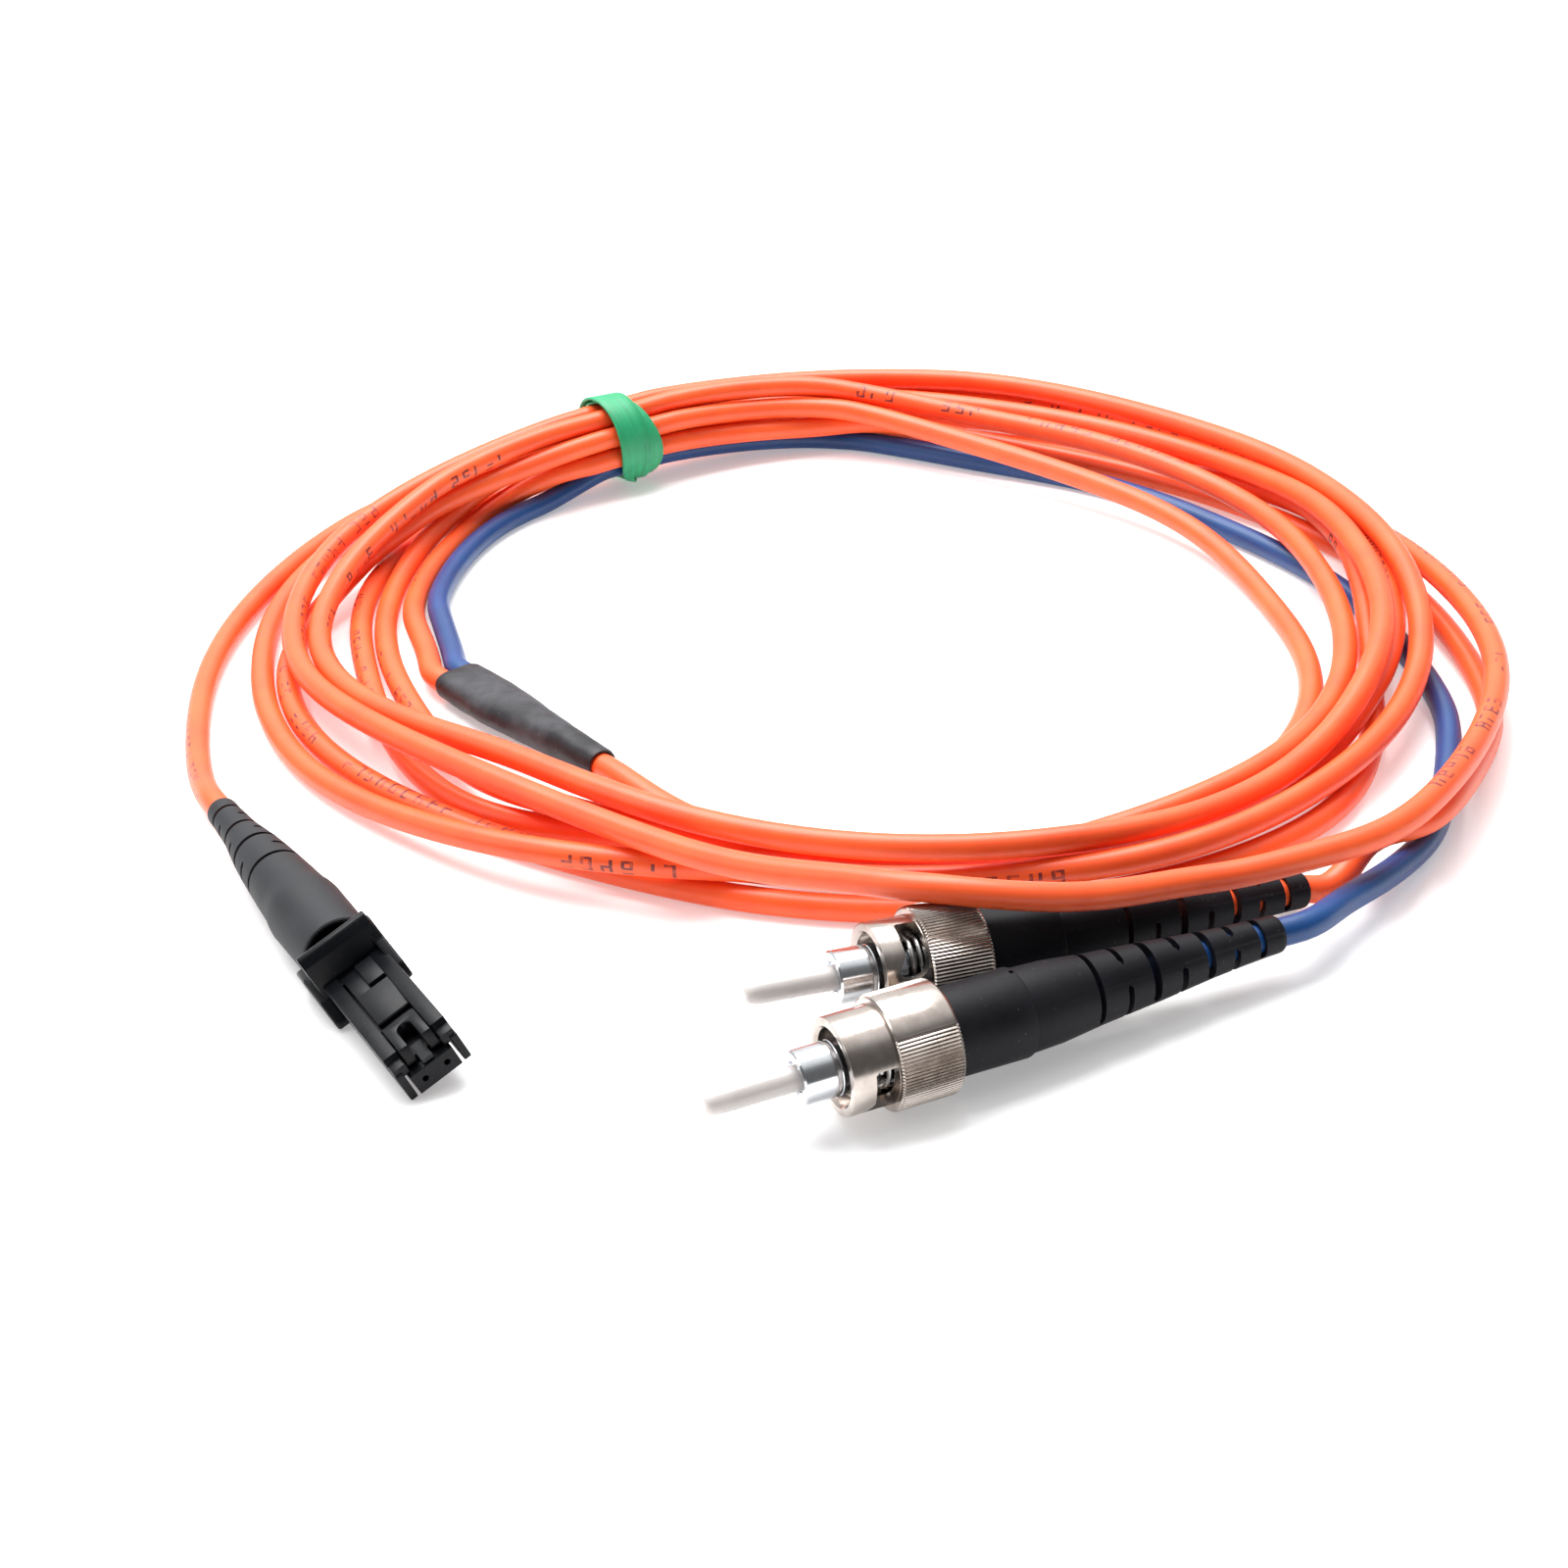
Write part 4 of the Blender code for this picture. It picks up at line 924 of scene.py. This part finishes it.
# body behind the ferrule, side walls and rails
parts_.append(block((-24.0, -W + 0.35, 0.0), (-7.3, W - 0.35, 3.6), 0.3))
parts_.append(block((-20.0, -W, 0.0), (-7.0, W, 3.0), 0.35))
for sgn in (-1, 1):
    lo, hi = sorted((sgn * 2.82, sgn * W))
    parts_.append(block((-8.0, lo, 0.0), (-0.05, hi, 3.4), 0.2, segments=3))
    lo, hi = sorted((sgn * 2.0, sgn * W))
    parts_.append(block((-18.2, lo, 2.6), (-1.0, hi, 4.7), 0.16,
                        warp=lambda x, y, z: (x - (0.9 if x > -2 and z > 4 else 0.0), y, z), segments=2))
    lo, hi = sorted((sgn * 2.1, sgn * (W - 0.06)))
    parts_.append(block((-2.4, lo, 2.75), (-0.3, hi, 4.05), 0.18))
# deck over the ferrule and the pale block in the tab's mouth
parts_.append(block((-7.6, -2.3, 2.95), (-1.5, 2.3, 3.3), 0.08))
pale = block((-2.6, -0.62, 2.7), (-0.12, 0.62, 3.62), 0.1, warp=lambda x, y, z: (x, y, z - (0.42 if x > -1 and z > 3 else 0.0)), mat=BOOT_M)
# U-shaped tab
tab = block((-5.7, -2.0, 3.1), (-0.75, 2.0, 5.1), 0.0, warp=lambda x, y, z: (x + (0.35 if z > 4 and x < -3 else 0.0) - (0.3 if z > 4 and x > -3 else 0), y * (0.93 if z > 4 else 1.0), z))
slot_c = []
bm = bmesh.new()
bmesh.ops.create_cone(bm, cap_ends=True, segments=24, radius1=0.82 * MM, radius2=0.82 * MM, depth=4.0 * MM, matrix=Matrix.Translation(Vector((-3.6, 0, 4.6)) * MM))
bm2 = bmesh.new()
bmesh.ops.create_cube(bm2, size=1.0)
for v in bm2.verts:
    v.co = Vector(((-3.6 if v.co.x < 0 else 1.0), (-0.82 if v.co.y < 0 else 0.82), (2.6 if v.co.z < 0 else 6.6))) * MM
cut_one(tab, [solid(bm, PLASTIC)])
cut_one(tab, [solid(bm2, PLASTIC)])
bv = tab.modifiers.new("edges", "BEVEL")
bv.width, bv.segments, bv.limit_method, bv.angle_limit = 0.13 * MM, 2, "ANGLE", math.radians(35)
bpy.context.view_layer.update()
parts_.append(applied(tab, 40))
# ramp and stepped blocks behind the tab
parts_.append(prism([(-12.5, 2.6), (-12.5, 4.95), (-7.9, 4.15), (-7.7, 4.0), (-7.7, 2.6)], -1.75, 2.0, 0.1))
parts_.append(block((-16.9, -1.75, 2.6), (-12.4, 0.15, 4.75), 0.1))
parts_.append(block((-16.9, 0.05, 2.6), (-12.9, 2.0, 5.2), 0.1))
# thumb bar: a rounded ridge across, on a foot
bar = rounded_outline([(-17.7, 3.2), (-17.8, 4.9), (-18.5, 7.3), (-19.2, 8.25), (-20.1, 8.1), (-20.7, 6.8), (-20.9, 4.9), (-20.8, 3.2)],
                      [0, 0.3, 0.8, 0.7, 0.7, 1.0, 0.8, 0])
parts_.append(prism(bar, -4.15, 4.15, 0.14, 2))
parts_.append(block((-17.9, -3.3, 2.8), (-16.6, 3.3, 4.4), 0.2))
# low wing on one side, flare on the other
wing = rounded_outline([(-25.2, 0.9), (-24.3, 3.9), (-21.0, 4.6), (-17.8, 3.3), (-15.6, 1.4), (-16.0, 0.35), (-24.6, 0.35)], [0.7, 0.9, 0.9, 1.2, 0.6, 0.5, 0.6])
parts_.append(prism(wing, -4.9, -3.2, 0.45, 3))
flare = rounded_outline([(-21.0, 3.0), (-21.0, 6.7), (-19.4, 7.6), (-17.6, 5.6), (-14.2, 3.9), (-13.6, 2.2), (-15.0, 1.4), (-20.0, 1.4)], [0.6, 0.8, 0.8, 1.2, 0.9, 0.6, 0.6, 0.6])
parts_.append(prism(flare, 3.2, 4.35, 0.3, 3))
housing = joined("plug_housing_moulded", parts_ + [pale])
recalc(housing)
ride(housing, "cord", "black_plastic", "plug_housing")

ferr = block((-7.0, -FERRULE_W / 2, 0.15), (0.15, FERRULE_W / 2, 0.15 + FERRULE_H), 0.05, segments=1)
holes = []
for sgn in (-1, 1):
    bm = bmesh.new()
    bmesh.ops.create_cone(bm, cap_ends=True, segments=24, radius1=0.35 * MM, radius2=0.35 * MM, depth=5.0 * MM,
                          matrix=Matrix.Translation(Vector((0.2, 1.3 * sgn, 1.4)) * MM) @ Matrix.Rotation(math.pi / 2, 4, "Y"))
    holes.append(solid(bm, PLASTIC))
cut(ferr, holes, 35)
ferr.name = "plug_ferrule_moulded"
ride(ferr, "cord", "black_plastic", "plug_ferrule")

BM_ = frame_of(plug_at + PLUG_AXIS_H * pz_, py_, pz_, px_)
outer = [(3.55, -22.9), (3.95, -22.7), (4.1, -22.85), (4.14, -23.2), (4.16, -27.0), (4.2, -31.2), (4.22, -32.6), (4.1, -33.8), (3.88, -35.0), (3.78, -36.5),
         (3.62, -39.0), (3.45, -41.3), (3.2, -44.5), (2.88, -47.8), (2.5, -50.5), (2.16, -53.0), (1.97, -56.0), (1.86, -58.0), (1.84, -59.4), (1.8, -59.7),
         (1.7, -59.9), (1.6, -59.9), (1.58, -59.7), (1.58, -40.0), (2.4, -30.0), (3.5, -24.6)]
pboot = turned("plug_boot_slotted", outer, BOOT_M, BM_, 96, loop=True, sharp=30)
slots = []
for z0, w in ((-41.2, 0.6), (-47.2, 0.65), (-52.3, 0.6), (-57.4, 0.5)):
    slots += [arc_slot("s", BM_, z0, w, mid, 152, 1.3, 5.0) for mid in (90, 270)]
for z0, w in ((-44.2, 0.6), (-49.8, 0.6), (-54.9, 0.5)):
    slots += [arc_slot("s", BM_, z0, w, mid, 112, 1.3, 5.0) for mid in (0, 180)]
cut(pboot, slots, 30)
ride(pboot, "cord", "black_boot", "plug_boot")


# ------------------------------------------------------------ breakout sleeve
def smooth_table(rows, n):
    rows = np.asarray(rows, float)
    u = np.linspace(rows[0, 0], rows[-1, 0], n)
    out = [u]
    for c in range(1, rows.shape[1]):
        s0, y0 = rows[:, 0], rows[:, c]
        g = np.gradient(y0, s0)
        i = np.clip(np.searchsorted(s0, u) - 1, 0, len(s0) - 2)
        h = s0[i + 1] - s0[i]
        t = (u - s0[i]) / h
        out.append((2 * t ** 3 - 3 * t ** 2 + 1) * y0[i] + (t ** 3 - 2 * t ** 2 + t) * h * g[i]
                   + (-2 * t ** 3 + 3 * t ** 2) * y0[i + 1] + (t ** 3 - t ** 2) * h * g[i + 1])
    return np.stack(out, 1)


szv = -sd
sxv = np.cross([0, 0, 1.0], szv)
sxv /= np.linalg.norm(sxv)
syv = np.cross(szv, sxv)
SM = frame_of(sa, sxv, syv, szv)
rows = [(0.0, 3.4, 1.85), (1.5, 3.42, 1.9)] + SLEEVE_SIDE[2:]
tab_ = smooth_table(rows, 66)
sides = 72
ang = np.linspace(0, math.tau, sides, endpoint=False)


def sleeve_ring(s, wide, tall, inset):
    flat = 0.5 + 0.5 * math.cos(math.pi * min(1.0, s / 14.0))       # two cords side by side near the legs
    ex = 2.0 + 0.9 * flat
    c, q = np.cos(ang), np.sin(ang)
    rad = (np.abs(c) ** ex + np.abs(q) ** ex) ** (-1 / ex)
    waist = 1 - 0.05 * flat * np.exp(-(c / 0.35) ** 2)
    w = 0.045 * np.sin(3 * ang + 0.55 * s) * math.sin(0.41 * s + 0.6) + 0.03 * np.sin(5 * ang - 0.9 * s + 1.0) * math.sin(0.8 * s)
    w += 0.05 * np.sin(2 * ang + 1.0) * math.sin(0.62 * s + 2.0)
    k = max(0.0, 1.0 - 0.3 * (s > 31)) * (0.5 + 0.5 * min(1.0, s / 3.0))
    x = (wide - inset) * rad * c + w * k * c
    y = (tall - inset) * rad * q * waist + w * k * q
    return np.stack([x, y, np.full(sides, -s)], 1)


rings = [sleeve_ring(s, a, b, 0.12 if i in (0, len(tab_) - 1) else 0.0) for i, (s, a, b) in enumerate(tab_)]
inner = [sleeve_ring(s, a, b, 0.36) for s, a, b in tab_[::-1][:6]] + [sleeve_ring(s, a, b, 0.36) for s, a, b in tab_[::-1][10::8]] \
    + [sleeve_ring(0.02, tab_[0][1], tab_[0][2], 0.34)]
v, f = loft(rings + inner, loop=True)
sleeve = recalc(mesh("breakout_sleeve_shrunk", v, f, SHRINK_M, SM, 50))
ride(sleeve, "cord", "heat_shrink", "breakout_sleeve")


# --------------------------------------------------------------- rubber band
bh = math.radians(BAND_HEADING)
bzv = np.array([math.cos(bh), math.sin(bh), 0.0])
bxv = np.array([-math.sin(bh), math.cos(bh), 0.0])
byv = np.cross(bzv, bxv)
BMX = frame_of(np.array(BAND_AT), bxv, byv, bzv)


def bump_at(psi, at, wide):
    d = (psi - at + 180.0) % 360.0 - 180.0
    return math.exp(-(d / wide) ** 2)


def ribbon(name, radius, offset, half, tilt, thick=0.44, steps=144):
    """A flat closed band: each is a function of the angle round the bundle, in degrees from its far side over the top."""
    rings, uvr = [], []
    for i in range(steps):
        psi = 360.0 * i / steps
        a = math.radians(psi)
        er = np.array([math.cos(a), math.sin(a), 0.0])
        ez = np.array([0.0, 0.0, 1.0])
        t = math.radians(tilt(psi))
        wd, nd = ez * math.cos(t) + er * math.sin(t), er * math.cos(t) - ez * math.sin(t)
        c = er * radius(psi) + ez * offset(psi)
        h, k = half(psi), thick / 2
        prof = [(-h, -k * 0.5), (-h + 0.12, -k), (-h * 0.5, -k), (0, -k), (h * 0.5, -k), (h - 0.12, -k), (h, -k * 0.5),
                (h, k * 0.5), (h - 0.12, k), (h * 0.5, k), (0, k), (-h * 0.5, k), (-h + 0.12, k), (-h, k * 0.5)]
        rings.append([c + wd * u + nd * w for u, w in prof])
        uvr.append([u for u, w in prof])
    v, f = loft(rings, loop=True)
    n = len(rings[0])
    step = math.tau * 6.3 / steps
    uvs = []
    for i in range(steps):
        for j in range(n):
            q = (j + 1) % n
            i2 = (i + 1) % steps
            uvs += [(i * step, uvr[i][j]), (i * step, uvr[i][q]), ((i + 1) * step, uvr[i2][q]), ((i + 1) * step, uvr[i2][j])]
    return recalc(mesh(name, v, f, BAND, BMX, 60, uvs))


rib_a = ribbon("band_first_turn", lambda q: 6.48 - 0.18 * bump_at(q, 250, 40), lambda q: -0.9 + 1.7 * bump_at(q, 268, 42) - 0.5 * bump_at(q, 60, 50),
               lambda q: 2.35 - 1.15 * bump_at(q, 262, 34), lambda q: 7 * bump_at(q, 225, 30) - 4 * bump_at(q, 60, 40))
rib_b = ribbon("band_second_turn", lambda q: 6.05 + 0.40 * bump_at(q, 195, 40), lambda q: 0.2 + 1.9 * bump_at(q, 195, 62) - 2.1 * bump_at(q, 62, 42),
               lambda q: 1.65 - 0.35 * bump_at(q, 262, 40), lambda q: -6 * bump_at(q, 195, 50) + 10 * bump_at(q, 55, 30))
rib_c = ribbon("band_third_turn", lambda q: 6.1 + 0.52 * bump_at(q, 236, 34), lambda q: -0.4 + 1.6 * bump_at(q, 275, 36) - 1.5 * bump_at(q, 215, 30),
               lambda q: 0.75, lambda q: 24 * bump_at(q, 235, 30))
band = joined("rubber_band_wound", [rib_a, rib_b, rib_c])
ride(band, "cord", "band_rubber", "rubber_band")


# ------------------------------------------------------------ the cords, looked up again by name
for name, ex, far, with_pieces in (
        ("cable_main_jacket", main_line[0], "connector", ["plug_housing_moulded", "plug_ferrule_moulded", "plug_boot_slotted"]),
        ("leg_orange_jacket", orange_line[0], "connector", ["bayonet_rear_ferrule_white", "bayonet_rear_barrel_turned", "bayonet_rear_spring_coil",
                                                            "bayonet_rear_washer_turned", "bayonet_rear_nut_knurled", "bayonet_rear_boot_slotted"]),
        ("leg_blue_jacket", blue_line[0], "connector", ["bayonet_front_ferrule_white", "bayonet_front_barrel_turned", "bayonet_front_spring_coil",
                                                        "bayonet_front_washer_turned", "bayonet_front_nut_knurled", "bayonet_front_boot_slotted"])):
    ob, path = cords[name]


# ------------------------------------------------------------ floor and light
fm = Mat("floor", (0.80, 0.80, 0.80), 0.7, Specular_IOR_Level=0.1, Emission_Strength=0.34)
fm.s.inputs["Emission Color"].default_value = (1.0, 1.0, 1.0, 1.0)
fn = fm.noise(6.0, 3.0)
fm.colour(fm.mix(fm.ramp(fn, 0.3, 0.7, 0.0, 1.0), (0.805, 0.805, 0.805), (0.79, 0.79, 0.792)))
floor = mesh("floor", [(-3000, -3000, -0.02), (3000, -3000, -0.02), (3000, 3000, -0.02), (-3000, 3000, -0.02)], [(0, 1, 2, 3)], fm.m)

world = bpy.data.worlds.new("studio")
bpy.context.scene.world = world
world.use_nodes = True
wt = world.node_tree
bg = wt.nodes["Background"]
tc = wt.nodes.new("ShaderNodeTexCoord")
dot = wt.nodes.new("ShaderNodeVectorMath")
dot.operation = "DOT_PRODUCT"
dot.inputs[1].default_value = (-0.10, math.sin(math.radians(33)), math.cos(math.radians(33)))
wt.links.new(tc.outputs["Generated"], dot.inputs[0])
rp = wt.nodes.new("ShaderNodeValToRGB")
rp.color_ramp.elements[0].position, rp.color_ramp.elements[0].color = 0.0, (0.10, 0.10, 0.10, 1)
rp.color_ramp.elements[1].position, rp.color_ramp.elements[1].color = 1.0, (1.15, 1.15, 1.15, 1)
for pos, val in ((0.58, 0.14), (0.70, 0.22), (0.86, 0.95)):
    e = rp.color_ramp.elements.new(pos)
    e.color = (val, val, val, 1)
mr = wt.nodes.new("ShaderNodeMapRange")
mr.inputs["From Min"].default_value = -1.0
wt.links.new(dot.outputs["Value"], mr.inputs["Value"])
wt.links.new(mr.outputs["Result"], rp.inputs["Fac"])
wt.links.new(rp.outputs["Color"], bg.inputs["Color"])
bg.inputs["Strength"].default_value = 1.15


def area(name, at, look, size, watts, colour=(1, 1, 1)):
    d = bpy.data.lights.new(name, "AREA")
    d.shape = "RECTANGLE"
    d.size, d.size_y = size
    d.energy = watts
    d.color = colour
    o = bpy.data.objects.new(name, d)
    o.location = at
    o.rotation_mode = "QUATERNION"
    o.rotation_quaternion = (Vector(look) - Vector(at)).to_track_quat("-Z", "Y")
    scene_col.objects.link(o)


area("top_softbox", (-0.10, 0.30, 0.75), (0, 0, 0), (0.8, 0.6), 13.0)
area("left_strip", (-0.8, -0.1, 0.35), (0, 0, 0), (0.3, 0.6), 1.5)
bpy.context.scene.view_settings.view_transform = "Standard"
